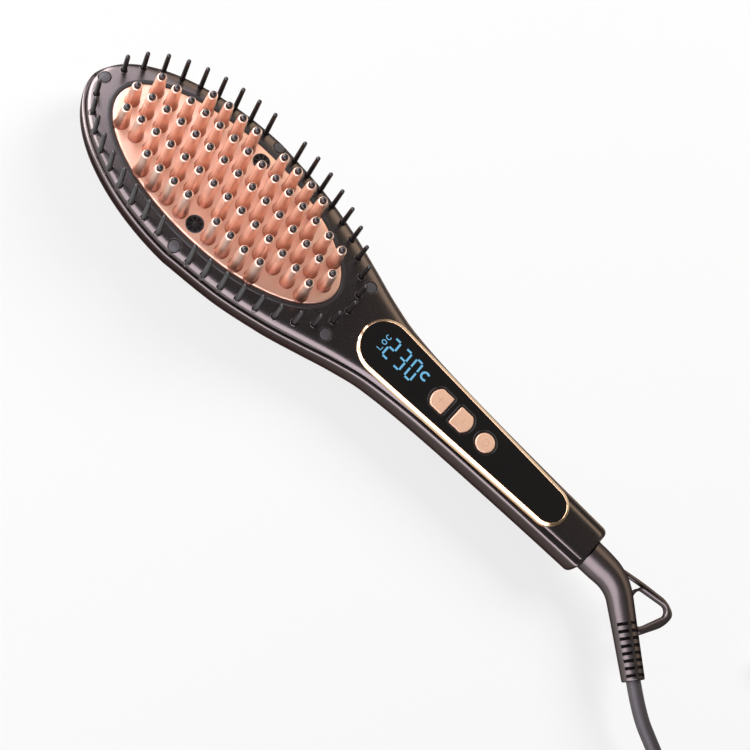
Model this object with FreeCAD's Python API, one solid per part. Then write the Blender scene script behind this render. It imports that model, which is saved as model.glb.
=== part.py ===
import FreeCAD, Part
import math, os

os.makedirs("parts", exist_ok=True)
V = FreeCAD.Vector

# A heated hair brush with a mains lead, lying on its back with its bristles up.
# Everything is laid out in millimetres from the middle of the head at the level of the plate:
# X runs to the end of the handle and Z points out of the plate.
# save() moves each piece so that the origin of the part is under its middle, on the table.

# Body
tip_x = -76.0                 # end of the head
handle_end_x = 212.0
head_half_width = 36.8
back_depth = 27.5             # plate level to the back of the head
shoulder_z = -10.5            # widest level of the head
head_roundness = 1.93         # exponent of the head's outline
neck_steps = [(24, 2.1), (48, 6.9), (66, 12.2)]      # x, step in from head_half_width
grip_half_widths = [(80, 20.2), (96, 16.5), (120, 14.2), (150, 12.8), (190, 11.7)]
grip_end_half_width = 11.3
shoulder_heights = [(0, 0), (40, 0), (90, -1.9), (150, -1.7)]   # x, rise over shoulder_z
shoulder_end_rise = -0.9
belly_depths = [(0, 17.4), (45, 16.6), (70, 13.2), (95, 10.1), (150, 9.3)]
belly_end_depth = 8.6
end_rounding = 2.4
wall = 2.0

# Joint between the shells: it climbs a little towards the end of the handle
split_z = -6.8                # lower edge of the front shell at the head's middle
split_slope = 0.0127
split_gap = 1.1
front_top_z = -1.9
panel_deck_z = -3.1           # top of the front shell on the handle
front_step = 1.45             # the front shell is this much narrower than the back shell
front_end_step = 2.2

# Heating plate and its fins
plate_half_length = 60.6
plate_to_comb = 7.1           # from the side of the plate to the row of pins
plate_edge_z = -1.2
plate_crown = 2.2
plate_thickness = 2.4
fin_pitch = 7.75
fin_stretch = 0.000145        # the pitch opens a little towards the ends
fin_row_pitch = 10.26
fin_top_z = 22.3
fin_fall_x = 0.00225          # the tops fall with the square of the distance from the middle
fin_fall_y = 0.00564
fin_base_x, fin_base_y = 2.5, 2.9      # half sizes at the plate
fin_top_radius = 1.75
tip_radius = 1.4
tip_straight = 1.0
fin_root = 0.8                # how far a fin reaches into the plate
fin_edge_margin = 3.2

# Seal round the plate
seal_width = 2.4
seal_clearance = 0.15
seal_depth = 3.0
seal_top_z = -1.7

# Comb of smooth pins round the plate
comb_margin = 3.4             # from the row of pins to the widest part of the head
comb_tip_length, comb_neck_length = 68.6, 69.4
comb_roundness = 2.15
comb_slots = 20               # equal steps from the tip to the neck on each side
pin_radius, pin_tip_radius = 0.95, 0.7
pin_top_z = 15.5
pin_fall_x = 0.00115
pin_hole_radius = 1.2
comb_strip_width = 4.4
comb_strip_thickness = 1.2
comb_clearance = 0.3
comb_gap = 0.15               # under the front shell
strip_end_x = 75.5

# Screws that hold the shells together, each under a flush plug
side_plug_x = 0.5
neck_plug = (69.4, 14.7)
tip_plug_x = -70.0
plug_radius, plug_thickness = 2.5, 1.4
plug_clearance = 0.1
screw_head_radius, screw_head_height = 2.0, 1.4
screw_radius, screw_length = 1.1, 10.0
screw_clearance = 0.2
boss_radius = 2.9
pad_radius = 3.2              # thick round each plug, inside the front shell

# Control panel on the handle: a tapered slot shape with two round ends
panel_head_x, panel_head_radius = 91.3, 13.1
panel_tail_from_end, panel_tail_radius = 26.5, 9.3
trim_width = 1.75
trim_top_z, trim_bottom_z = -2.2, -4.6
trim_slope = 1.1
lens_top_z = -2.8
lens_thickness = 1.3
lens_clearance = 0.1
deck_thickness = 1.5
deck_inset = 0.7              # the deck under the lens is this much smaller than the trim
ledge_reach, ledge_thickness = 0.3, 0.45     # thin step that shows under the trim
bridge_half_width = 7.0       # web that joins the deck to the end of the front shell
shelf_x = 142.0               # from here on the trim forms the side of the front shell
window_x = (86.5, 112.8)
window_half_width = 7.2

# Buttons
button_half_width = 4.6
button_bulge = 2.4            # how far the round side of the plus and minus keys bulges
plus_x = (118.3, 126.8)
minus_x = (131.0, 139.8)
power_x, power_radius = 148.3, 4.3
button_proud = 0.5
button_gap = 0.3
button_travel = 0.6
flange_thickness, flange_reach = 0.8, 0.7
plunger_radius, plunger_length = 1.5, 0.4
rest_gap = 0.3                # between the moving buttons and what they meet

# Electronics
board_x = (85.0, 186.0)
board_half_width, board_tail_half_width = 9.4, 6.6
board_thickness = 1.2
keypad_thickness = 0.8
switch_height = 1.3
post_radius = 1.6

# Heater stack under the plate
heater_length, heater_width, heater_height = 30.0, 14.0, 3.0
heater_x = 21.0
sheet_half_length, sheet_half_width, sheet_thickness = 50.0, 17.0, 0.4
clamp_thickness = 1.2
clamp_post = (45.0, 10.0)
clamp_post_radius = 2.6
stack_gap = 0.05
carrier_width, carrier_thickness = 6.5, 1.8
shield_half_length, shield_half_width, shield_thickness = 52.0, 24.0, 0.8
shield_z = -14.0
shield_post_x, shield_post_y, shield_post_radius = 40.0, 14.0, 2.2

# Ion outlets in the plate
outlet_margin = 5.8           # from the side of the plate to the middle of an outlet
outlet_radius = 3.86
outlet_hole_gap = 0.15
outlet_depth = 6.0
outlet_wall = 0.7
outlet_spokes = 8
emitter_radius = 3.2
emitter_length = 3.0

# Swivel in the end of the handle
swivel_z = -11.8
journal_radius = 4.4
journal_clearance = 0.05
collar_radius, collar_length = 5.2, 3.0
collar_gap = 0.3
housing_length, housing_half_width, housing_half_height = 11.0, 7.2, 5.9
spindle_radius, spindle_length = 2.6, 9.0
ring_radius, ring_length = 3.5, 1.8
ring_pitch = 4.0

# Bend relief with its hanging loop
boot_radius, boot_end_radius = 7.15, 4.9
boot_straight = 10.0
boot_turn = 41.0              # degrees, towards -Y
boot_bend_radius = 20.0
boot_taper_length = 34.0
boot_end_gap = 0.3
slot_count, slot_pitch, slot_width = 8, 3.2, 1.3
slot_first, slot_root = 2.6, 3.6      # first slot from the end, half width of the spine between slots
loop_thickness = 4.0
# corners of the loop, from the end of the handle
loop_outer = [(16.0, 5.0), (26.2, 8.9), (39.0, 9.6), (45.6, 6.4), (45.2, 0.5), (38.2, -12.0), (28.0, -6.0)]
loop_hole = [(27.4, 1.2), (27.8, 4.4), (39.6, 5.6), (41.6, 3.0), (36.8, -6.4), (34.8, -7.0)]

# Mains lead: radius, then its route as far as the coil, and from the coil to the plug
cord_radius = 3.1
cord_route = [(271.5, -36.0, -12.2), (284.5, -41.6, -13.6), (300.0, -47.4, -17.2),
              (319.0, -55.0, -22.2), (337.5, -63.0, -24.4)]
coil_centre = (372.0, -30.0)
coil_radius = 35.0                    # middle of the turns, which lie four wide and two high
coil_columns, coil_rows = 4, 2
tail_route = [(417.3, -13.5, -19.2), (413.0, 3.0, -23.4), (402.5, 16.5, -24.3),
              (388.0, 24.5, -22.8), (371.5, 27.0, -21.0)]
tie_thickness, tie_width = 1.0, 9.0
mains_body = (34.0, 26.0, 13.5)       # length, width, thickness
mains_pin_radius, mains_pin_length, mains_pin_pitch = 2.0, 19.0, 19.0
mains_neck_radius, mains_neck_length = 4.6, 16.0

floor_z = -back_depth
comb_half_width = round(head_half_width - comb_margin, 6)
plate_half_width = round(comb_half_width - plate_to_comb, 6)
outlet_y = round(plate_half_width - outlet_margin, 6)
spring_rise = 0.8             # from the contact springs to their holder
holder_clearance = 0.2        # between the holder and the core
holder_low = swivel_z + max(ring_radius + rest_gap + spring_rise, journal_radius + holder_clearance)
core_end_x = handle_end_x + 4.0       # the swivel's core reaches this far into the bend relief
tip_stations = (7, 15, 25, 38, 53, 71)     # degrees round the tip of the head
head_start_x = tip_x * math.cos(math.radians(tip_stations[0]))
origin_shift = V(-(head_start_x + core_end_x) / 2, 0, back_depth)
big = 1000.0


def save(name, shapes):
    solids = [s for shape in shapes for s in shape.Solids]
    whole = solids[0] if len(solids) == 1 else Part.makeCompound(solids)
    whole = whole.copy()
    whole.translate(origin_shift)
    whole.exportStep("parts/%s.step" % name)
    volume = sum(s.Volume for s in solids)
    print("%-20s %3d solids %10.1f mm3 valid %s" % (name, len(solids), volume, whole.isValid()))


def smooth(points):
    # A cubic curve through the points that never overshoots them
    xs = [p[0] for p in points]
    ys = [p[1] for p in points]
    steps = [(ys[i + 1] - ys[i]) / (xs[i + 1] - xs[i]) for i in range(len(xs) - 1)]
    slopes = [steps[0]]
    for a, b in zip(steps, steps[1:]):
        slopes.append(0.0 if a * b <= 0 else 2 * a * b / (a + b))
    slopes.append(steps[-1])

    def value(x):
        x = min(max(x, xs[0]), xs[-1])
        i = max(k for k in range(len(xs) - 1) if xs[k] <= x)
        h = xs[i + 1] - xs[i]
        t = (x - xs[i]) / h
        return (ys[i] * (1 + 2 * t) * (1 - t) ** 2 + ys[i + 1] * t * t * (3 - 2 * t)
                + h * slopes[i] * t * (1 - t) ** 2 - h * slopes[i + 1] * t * t * (1 - t))
    return value


grip_half_width = smooth([(0, head_half_width)]
                         + [(x, head_half_width - step) for x, step in neck_steps]
                         + [p for p in grip_half_widths if p[0] < handle_end_x - 15]
                         + [(handle_end_x, grip_end_half_width)])
shoulder_rise = smooth(shoulder_heights + [(handle_end_x, shoulder_end_rise)])
belly_depth = smooth(belly_depths + [(handle_end_x, belly_end_depth)])
front_inset = smooth([(0, front_step), (110, front_step), (150, front_end_step), (handle_end_x, front_end_step)])
front_top = smooth([(0, front_top_z), (60, front_top_z), (90, panel_deck_z), (handle_end_x, panel_deck_z)])


def half_width(x, inset):
    if x >= 0:
        return grip_half_width(x) - inset
    reach = 1 - (x / (tip_x + inset)) ** head_roundness
    return (head_half_width - inset) * max(reach, 0.0) ** (1 / head_roundness)


def shoulder(x):
    return shoulder_z + shoulder_rise(x)


def belly(x, inset):
    depth = belly_depth(x) - inset
    if x >= 0:
        return depth
    return depth * max(1 - (x / (tip_x + inset)) ** 4, 0.0) ** 0.25


def section(x, half, down, up, low_power, high_power, count=28):
    # A closed curve across the body: rounded below the shoulder, squarer above it
    points = []
    for i in range(count):
        a = 2 * math.pi * (i + 0.5) / count
        c, s = math.cos(a), math.sin(a)
        power = high_power if s > 0 else low_power
        y = half * math.copysign(abs(c) ** (2 / power), c)
        z = shoulder(x) + (up if s > 0 else down) * math.copysign(abs(s) ** (2 / power), s)
        points.append(V(x, y, z))
    curve = Part.BSplineCurve()
    curve.interpolate(points, True)
    return Part.Wire(curve.toShape())


def stations(start, end):
    # Close together at the rounded tip, wider apart along the handle
    xs = [start + (0 - start) * (1 - math.cos(math.radians(a))) for a in tip_stations]
    xs += [0, 22, 44, 62, 80, 96, 118, 148]
    return [x for x in xs if x < end - 12] + [end - 8, end]


def back_body(inset):
    wires = []
    for x in stations(tip_x + inset, handle_end_x - inset):
        down = belly(x, inset)
        up = front_top_z - shoulder_z
        wires.append(section(x, half_width(x, inset), down, up, 3.0, 5.0))
    return Part.makeLoft(wires, True, False)


def front_body(inset):
    wires = []
    start = tip_x + front_step + inset
    for x in stations(start, handle_end_x - inset):
        step = front_inset(x)
        up = front_top(x) - shoulder(x) - inset
        narrowing = 1.0
        if x < 0:
            narrowing = max(1 - (x / start) ** 8, 0.0) ** 0.125
        wires.append(section(x, half_width(x, step + inset), up * narrowing, up * narrowing, 3.0, 5.5))
    return Part.makeLoft(wires, True, False)


def round_end(body):
    # Rounds the edges at the end of the handle with a rounded block of the same width and height
    half = grip_end_half_width
    low = shoulder(handle_end_x) - belly_end_depth
    block = box(handle_end_x - 4 * end_rounding, handle_end_x, -half, half, low, panel_deck_z)
    block = block.makeFillet(end_rounding, [e for e in block.Edges if e.BoundBox.XMin > handle_end_x - 0.01])
    rest = box(-big, handle_end_x - 3 * end_rounding, -big, big, -big, big)
    return body.common(block.fuse(rest))


def above(level):
    # The space above the joint between the shells, raised by level
    block = Part.makeBox(3 * big, 2 * big, big, V(-big, -big, 0))
    block.rotate(V(0, 0, 0), V(0, 1, 0), -math.degrees(math.atan(split_slope)))
    block.translate(V(0, 0, split_z + level))
    return block


def oval(half_x, half_y, z0, z1):
    ring = Part.Ellipse(V(0, 0, z0), half_x, half_y).toShape()
    return Part.Face(Part.Wire(ring)).extrude(V(0, 0, z1 - z0))


def cylinder(x, y, z0, z1, radius):
    return Part.makeCylinder(radius, z1 - z0, V(x, y, z0))


def box(x0, x1, y0, y1, z0, z1):
    return Part.makeBox(x1 - x0, y1 - y0, z1 - z0, V(x0, y0, z0))


def along_x(x0, x1, radius, y=0.0, z=None):
    return Part.makeCylinder(radius, x1 - x0, V(x0, y, swivel_z if z is None else z), V(1, 0, 0))


def slot_shape(x0, r0, x1, r1, z):
    # Two round ends joined by the lines that touch both
    lean = math.asin((r0 - r1) / (x1 - x0))
    s, c = math.sin(lean), math.cos(lean)
    a, b = V(x0 + r0 * s, r0 * c, z), V(x1 + r1 * s, r1 * c, z)
    a2, b2 = V(a.x, -a.y, z), V(b.x, -b.y, z)
    edges = [Part.LineSegment(a, b).toShape(),
             Part.Arc(b, V(x1 + r1, 0, z), b2).toShape(),
             Part.LineSegment(b2, a2).toShape(),
             Part.Arc(a2, V(x0 - r0, 0, z), a).toShape()]
    return Part.Wire(edges)


tail_x = handle_end_x - panel_tail_from_end
clamp_end = handle_end_x - wall - 1.0
clamp_start = clamp_end - housing_length


def panel_wire(inset, z):
    return slot_shape(panel_head_x, panel_head_radius - inset, tail_x, panel_tail_radius - inset, z)


def panel_block(inset, z0, z1):
    return Part.Face(panel_wire(inset, z0)).extrude(V(0, 0, z1 - z0))


def ridge_box(x0, x1, half, z0, z1, radius):
    # A block with rounded corners seen from above
    block = box(x0, x1, -half, half, z0, z1)
    return block.makeFillet(radius, [e for e in block.Edges if abs(e.BoundBox.ZLength - (z1 - z0)) < 1e-6])


def plate_top(x, y):
    return plate_edge_z + plate_crown * (1 - (x / plate_half_length) ** 2 - (y / plate_half_width) ** 2)


plate_bottom = plate_edge_z - plate_thickness
lens_bottom = lens_top_z - lens_thickness
deck_bottom = lens_bottom - deck_thickness
flange_top = deck_bottom - rest_gap
plunger_end = flange_top - flange_thickness - plunger_length
keypad_top = plunger_end - button_travel - rest_gap
board_top = keypad_top - keypad_thickness - switch_height - 0.1
board_bottom = board_top - board_thickness


# Places of the fins and pins

def fin_places():
    rows = {0: [i for i in range(-7, 8)]}
    rows[1] = rows[-1] = [i - 0.5 for i in range(-6, 8)]
    rows[2] = rows[-2] = [i for i in range(-4, 5) if i]
    places = []
    for row, steps in rows.items():
        for i in steps:
            x = i * fin_pitch * (1 + fin_stretch * i * i)
            y = row * fin_row_pitch
            limit = plate_half_width - fin_edge_margin
            room = 1 - (x / (plate_half_length - fin_edge_margin)) ** 2
            y = math.copysign(min(abs(y), limit * math.sqrt(max(room, 0.0))), y) if row else 0.0
            top = fin_top_z - fin_fall_x * x * x - fin_fall_y * y * y
            places.append((x, y, top))
    return places


def comb_curve(a):
    # a runs from 0 at the tip to 180 degrees at the neck, on the +Y side
    c, s = -math.cos(math.radians(a)), math.sin(math.radians(a))
    reach = comb_tip_length if c < 0 else comb_neck_length
    power = 2 / comb_roundness
    return reach * math.copysign(abs(c) ** power, c), comb_half_width * abs(s) ** power


def comb_places():
    # Equal steps along the curve, from the tip to the neck
    steps = 720
    points = [comb_curve(180.0 * i / steps) for i in range(steps + 1)]
    lengths = [0.0]
    for p, q in zip(points, points[1:]):
        lengths.append(lengths[-1] + math.hypot(q[0] - p[0], q[1] - p[1]))
    places = []
    for k in range(comb_slots + 1):
        wanted = lengths[-1] * k / comb_slots
        i = min(range(steps + 1), key=lambda n: abs(lengths[n] - wanted))
        places.append(points[i])
    return places


def pin_places():
    middle = comb_slots // 2
    places = []
    for k, (x, y) in enumerate(comb_places()):
        if k in (0, middle):
            continue
        if k == comb_slots:
            places.append((x, 0.0, pin_top_z - pin_fall_x * x * x))
            continue
        for side in (1, -1):
            places.append((x, side * y, pin_top_z - pin_fall_x * x * x))
    return places


def face_height(x, y):
    # Level of the front face near its rounded edge
    up = front_top(x) - shoulder(x)
    if x < 0:
        up *= max(1 - (x / (tip_x + front_step)) ** 8, 0.0) ** 0.125
    share = min(abs(y) / half_width(x, front_inset(x)), 0.999)
    return shoulder(x) + up * (1 - share ** 5.5) ** (1 / 5.5)


plugs = [(tip_plug_x, 0.0)]
plugs += [(side_plug_x, side * (comb_half_width - 1.0)) for side in (1, -1)]
plugs += [(neck_plug[0], side * neck_plug[1]) for side in (1, -1)]


def split_height(x):
    return split_z + split_slope * x


def plug_top(x, y):
    return face_height(x, y) - 0.1


def head_seat(x, y):
    # Where the underside of a screw's head rests
    return plug_top(x, y) - plug_thickness - screw_head_height - 0.1


def strip_level(x):
    # Top of the comb's strip, which lies along the joint between the shells
    return split_height(x) - comb_gap


def make_shells():
    back = round_end(back_body(0.0)).cut(back_body(wall)).cut(above(-split_gap))
    back = back.common(box(-big, big, -big, big, floor_z, big))
    core = back_body(wall / 2)
    bosses = []
    for x, y in plugs:
        top = strip_level(x) - comb_strip_thickness - 0.1
        boss = cylinder(x, y, floor_z + 1, top, boss_radius).common(core)
        bosses.append(boss)
    for x in (-shield_post_x, shield_post_x):
        for side in (1, -1):
            bosses.append(cylinder(x, side * shield_post_y, floor_z + 1, shield_z - 0.05, shield_post_radius))
    low = swivel_z - housing_half_height - 0.05
    for x in (clamp_start + 1.0, clamp_end - 3.0):
        bosses.append(box(x, x + 1.6, -big, big, -big, low).common(core))
    back = back.fuse(bosses)
    holes = [along_x(handle_end_x - 2 * wall, handle_end_x + 5, journal_radius + 0.3)]
    for x, y in plugs:
        holes.append(cylinder(x, y, head_seat(x, y) - screw_length - 1, big, screw_radius + 0.02))
    back = back.cut(Part.makeCompound(holes))
    save("back_shell", [back])

    front = round_end(front_body(0.0)).cut(front_body(wall)).common(above(0.0))
    core = front_body(wall / 2).common(above(0.0))
    added = [panel_block(deck_inset, deck_bottom, lens_bottom + 0.6).common(front_body(wall / 2)),
             panel_block(-ledge_reach, trim_bottom_z - ledge_thickness, trim_bottom_z),
             box(tail_x - 4.0, clamp_start - 0.5, -bridge_half_width, bridge_half_width,
                 deck_bottom, panel_deck_z - 1.0).common(front_body(wall / 2))]
    for x, y in plugs:
        added.append(cylinder(x, y, strip_level(x) + 0.1, big, pad_radius).common(core))
    front = front.fuse(added)
    front = front.cut(oval(opening_x, opening_y, -big, big))
    front = front.cut(panel_block(trim_width, lens_bottom, big))
    groove = panel_block(-0.05, trim_bottom_z, big)
    groove = groove.fuse(box(shelf_x, tail_x, -big, big, trim_bottom_z, big))
    front = front.cut(groove.cut(panel_block(trim_width + 0.3, trim_bottom_z - 1, lens_bottom)))
    cuts = [box(window_x[0], window_x[1], -window_half_width, window_half_width, -big, big)]
    cuts += button_blocks(-button_gap, -big, big).values()
    cuts += [cylinder(x, y, -big, big, pin_hole_radius) for x, y, top in pin_places()]
    cuts.append(along_x(handle_end_x - 2 * wall, handle_end_x + 5, journal_radius + 0.3))
    for x, y in plugs:
        seat = plug_top(x, y) - plug_thickness - 0.1
        hole = cylinder(x, y, seat, big, plug_radius + plug_clearance)
        hole = hole.fuse([cylinder(x, y, head_seat(x, y), seat + 1, screw_head_radius + screw_clearance),
                          cylinder(x, y, -big, seat, screw_radius + screw_clearance)])
        cuts.append(hole)
    front = front.cut(Part.makeCompound(cuts))
    front = front.fuse([cylinder(x, 0.0, board_top, deck_bottom + 0.5, post_radius) for x in board_posts])
    save("front_shell", [front])


def d_block(flat_x, round_x, inset, z0, z1):
    # A block with one bulging side, seen from above
    way = 1 if round_x > flat_x else -1
    half = button_half_width - inset
    flat, nose = flat_x + way * inset, round_x - way * inset
    shoulder_x = nose - way * button_bulge
    edges = [Part.LineSegment(V(shoulder_x, half, z0), V(flat, half, z0)).toShape(),
             Part.LineSegment(V(flat, half, z0), V(flat, -half, z0)).toShape(),
             Part.LineSegment(V(flat, -half, z0), V(shoulder_x, -half, z0)).toShape(),
             Part.Arc(V(shoulder_x, -half, z0), V(nose, 0, z0), V(shoulder_x, half, z0)).toShape()]
    return Part.Face(Part.Wire(edges)).extrude(V(0, 0, z1 - z0))


def button_blocks(inset, z0, z1):
    return {"plus_button": d_block(plus_x[1], plus_x[0], inset, z0, z1),
            "minus_button": d_block(minus_x[0], minus_x[1], inset, z0, z1),
            "power_button": cylinder(power_x, 0, z0, z1, power_radius - inset)}


button_middles = {"plus_button": (plus_x[0] + plus_x[1]) / 2,
                  "minus_button": (minus_x[0] + minus_x[1]) / 2,
                  "power_button": power_x}
board_posts = (115.6, 155.5)
opening_x = plate_half_length + seal_width + 2 * seal_clearance
opening_y = plate_half_width + seal_width + 2 * seal_clearance


def make_buttons():
    caps = button_blocks(0.0, flange_top - 0.01, lens_top_z + button_proud)
    flanges = button_blocks(-button_gap - flange_reach, flange_top - flange_thickness, flange_top)
    for name, cap in caps.items():
        rim = [e for e in cap.Edges if abs(e.BoundBox.ZMin - cap.BoundBox.ZMax) < 1e-6]
        cap = cap.makeFillet(0.4, rim)
        x = button_middles[name]
        plunger = cylinder(x, 0, plunger_end, flange_top, plunger_radius)
        save(name, [cap.fuse([flanges[name], plunger]).removeSplitter()])


def make_panel():
    trim = Part.makeLoft([panel_wire(0.0, trim_bottom_z), panel_wire(trim_slope, trim_top_z)], True, True)
    trim = trim.cut(panel_block(trim_width - 0.02, trim_bottom_z - 1, big))
    save("trim_ring", [trim])
    lens = panel_block(trim_width + lens_clearance, lens_bottom, lens_top_z)
    for block in button_blocks(-button_gap, lens_bottom - 1, lens_top_z + 1).values():
        lens = lens.cut(block)
    save("panel_lens", [lens])
    module = box(window_x[0] + 0.3, window_x[1] - 0.3, -window_half_width + 0.3, window_half_width - 0.3,
                 board_top, lens_bottom - 0.1)
    save("display_module", [module])


def make_electronics():
    x0, x1 = board_x
    outline = [V(x0, -board_half_width, board_bottom), V(x0, board_half_width, board_bottom),
               V(118, board_half_width, board_bottom), V(x1, board_tail_half_width, board_bottom),
               V(x1, -board_tail_half_width, board_bottom), V(118, -board_half_width, board_bottom)]
    board = Part.Face(Part.makePolygon(outline + outline[:1])).extrude(V(0, 0, board_thickness))
    parts = [box(160, 172, -4.5, 4.5, board_bottom - 5.0, board_bottom),
             box(140, 152, -5.0, 5.0, board_bottom - 3.0, board_bottom),
             cylinder(180.0, 0.0, board_bottom - 5.5, board_bottom, 3.4)]
    board = board.fuse(parts)
    for x in board_posts:
        board = board.cut(cylinder(x, 0, board_bottom - 1, board_top + 1, 0.9))
    save("control_board", [board])
    screws = []
    for x in board_posts:
        head = cylinder(x, 0, board_bottom - 1.2, board_bottom, 1.5)
        screws.append(head.fuse(cylinder(x, 0, board_bottom, board_top, 0.8)))
    save("board_screws", screws)
    switches = []
    for x in button_middles.values():
        base = box(x - 2.6, x + 2.6, -2.6, 2.6, board_top, board_top + 0.8)
        switches.append(base.fuse(cylinder(x, 0, board_top + 0.8, board_top + switch_height, 1.3)))
    save("tact_switches", switches)
    first, last = plus_x[0] - 1.5, power_x + power_radius + 1.2
    pad = ridge_box(first, last, 5.6, keypad_top - keypad_thickness, keypad_top, 2.0)
    low = board_top
    for x0, x1 in ((first, first + 1.2), (minus_x[0] - 2.7, minus_x[0] - 1.5), (last - 1.0, last)):
        pad = pad.fuse(box(x0, x1, -4.5, 4.5, low, keypad_top))
    for x in board_posts:
        pad = pad.cut(cylinder(x, 0, low - 1, keypad_top + 1, post_radius + 0.3))
    save("keypad", [pad])
    ion = ridge_box(94.0, 112.5, 8.0, board_bottom - 7.2, board_bottom - 0.6, 1.0)
    save("ion_generator", [ion])


def make_plate():
    # The crown is the cap of an ellipsoid that meets the plate's edge
    radius = 20.0
    share = math.sqrt(1 - ((radius - plate_crown) / radius) ** 2)
    matrix = FreeCAD.Matrix()
    matrix.scale(plate_half_length / share / radius, plate_half_width / share / radius, 1.0)
    dome = Part.makeSphere(radius).transformGeometry(matrix)
    dome.translate(V(0, 0, plate_edge_z + plate_crown - radius))
    plate = oval(plate_half_length, plate_half_width, plate_bottom, plate_edge_z + plate_crown + 1)
    plate = plate.common(dome.fuse(box(-big, big, -big, big, plate_bottom, plate_edge_z - 0.5)))
    for side in (1, -1):
        plate = plate.cut(cylinder(0, side * outlet_y, -50, 50, outlet_radius + outlet_hole_gap))
    fins, caps = [], []
    for x, y, top in fin_places():
        cap_base = top - tip_straight - tip_radius * 0.8
        low = Part.Wire(Part.Ellipse(V(x + 0.001, y, plate_top(x, y) - fin_root), fin_base_y, fin_base_x).toShape())
        high = Part.Wire(Part.Ellipse(V(x + 0.001, y, cap_base), fin_top_radius + 0.01, fin_top_radius).toShape())
        for wire in (low, high):
            wire.rotate(V(x, y, 0), V(0, 0, 1), 90)
        fins.append(Part.makeLoft([low, high], True, True))
        stub = cylinder(x, y, cap_base, cap_base + tip_straight, tip_radius)
        dome = Part.makeSphere(tip_radius, V(x, y, cap_base + tip_straight - 0.2 * tip_radius))
        dome = dome.common(cylinder(x, y, cap_base + tip_straight, top + 1, tip_radius + 1))
        caps.append(stub.fuse(dome))
    posts = []
    for sx in (1, -1):
        for sy in (1, -1):
            x, y = sx * clamp_post[0], sy * clamp_post[1]
            post = cylinder(x, y, clamp_top, plate_bottom + 0.5, clamp_post_radius)
            posts.append(post.cut(cylinder(x, y, clamp_top - 1, plate_bottom - 0.6, 0.95)))
    plate = plate.fuse(fins + posts)
    save("heating_plate", [plate])
    save("fin_tips", caps)


heater_top = plate_bottom - stack_gap
heater_bottom = heater_top - heater_height
sheet_top = heater_bottom - stack_gap
clamp_top = sheet_top - sheet_thickness - stack_gap
clamp_bottom = clamp_top - clamp_thickness


def make_heater():
    heaters = [box(c - heater_length / 2, c + heater_length / 2, -heater_width / 2, heater_width / 2,
                   heater_bottom, heater_top) for c in (-heater_x, heater_x)]
    save("ceramic_heaters", heaters)
    sheet = ridge_box(-sheet_half_length, sheet_half_length, sheet_half_width,
                      sheet_top - sheet_thickness, sheet_top, 6.0)
    clamp = ridge_box(-sheet_half_length, sheet_half_length, sheet_half_width, clamp_bottom, clamp_top, 6.0)
    clamp = clamp.fuse([box(-42, 42, s * 4.5 - 1, s * 4.5 + 1, clamp_bottom - 1.4, clamp_bottom) for s in (1, -1)])
    screws = []
    for sx in (1, -1):
        for sy in (1, -1):
            x, y = sx * clamp_post[0], sy * clamp_post[1]
            sheet = sheet.cut(cylinder(x, y, -50, 50, clamp_post_radius + 0.3))
            clamp = clamp.cut(cylinder(x, y, -50, 50, 1.2))
            head = cylinder(x, y, clamp_bottom - 1.3, clamp_bottom, 1.9)
            screws.append(head.fuse(cylinder(x, y, clamp_bottom, plate_bottom - 1.0, 0.94)))
    for side in (1, -1):
        well = cylinder(0, side * outlet_y, -50, 50, outlet_radius + 0.4)
        sheet = sheet.cut(well)
        clamp = clamp.cut(well)
    save("insulating_sheet", [sheet])
    save("heater_clamp", [clamp])
    save("clamp_screws", screws)
    save("thermistor", [box(-4.0, 4.0, -2.5, 2.5, heater_bottom + 0.3, heater_top)])
    fuse_z = clamp_bottom - 1.9
    fuse = Part.makeCylinder(1.8, 9.0, V(-31.0, 10.5, fuse_z), V(1, 0, 0))
    leads = Part.makeCylinder(0.4, 21.0, V(-37.0, 10.5, fuse_z), V(1, 0, 0))
    save("thermal_fuse", [fuse.fuse(leads)])


def make_carrier_and_seal():
    seal = oval(opening_x - seal_clearance, opening_y - seal_clearance, seal_top_z - seal_depth, seal_top_z)
    seal = seal.cut(oval(plate_half_length + seal_clearance, plate_half_width + seal_clearance, -50, 50))
    top_edges = [e for e in seal.Edges if abs(e.BoundBox.ZMin - seal_top_z) < 1e-6 and e.BoundBox.ZLength < 1e-6]
    seal = seal.makeFillet(0.7, top_edges)
    save("plate_seal", [seal])
    top = seal_top_z - seal_depth - 0.05
    outer_x, outer_y = opening_x + 0.8, opening_y + 0.8
    ring = oval(outer_x, outer_y, top - carrier_thickness, top)
    ring = ring.cut(oval(outer_x - carrier_width, outer_y - carrier_width, -50, 50))
    lip = oval(plate_half_length - 0.3, plate_half_width - 0.3, top - 0.5, plate_bottom - 0.05)
    lip = lip.cut(oval(outer_x - carrier_width, outer_y - carrier_width, -50, 50))
    ring = ring.fuse(lip)
    for side in (1, -1):
        ring = ring.cut(cylinder(0, side * outlet_y, -50, 50, outlet_radius + 0.4))
    for x, y in plugs:
        ring = ring.cut(cylinder(x, y, -50, 50, plug_radius + 1.3))
    for x, y, top_z in pin_places():
        ring = ring.cut(cylinder(x, y, -50, 50, pin_radius + 0.5))
    save("plate_carrier", [ring])
    shield = oval(shield_half_length, shield_half_width, shield_z, shield_z + shield_thickness)
    save("heat_shield", [shield])


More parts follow.
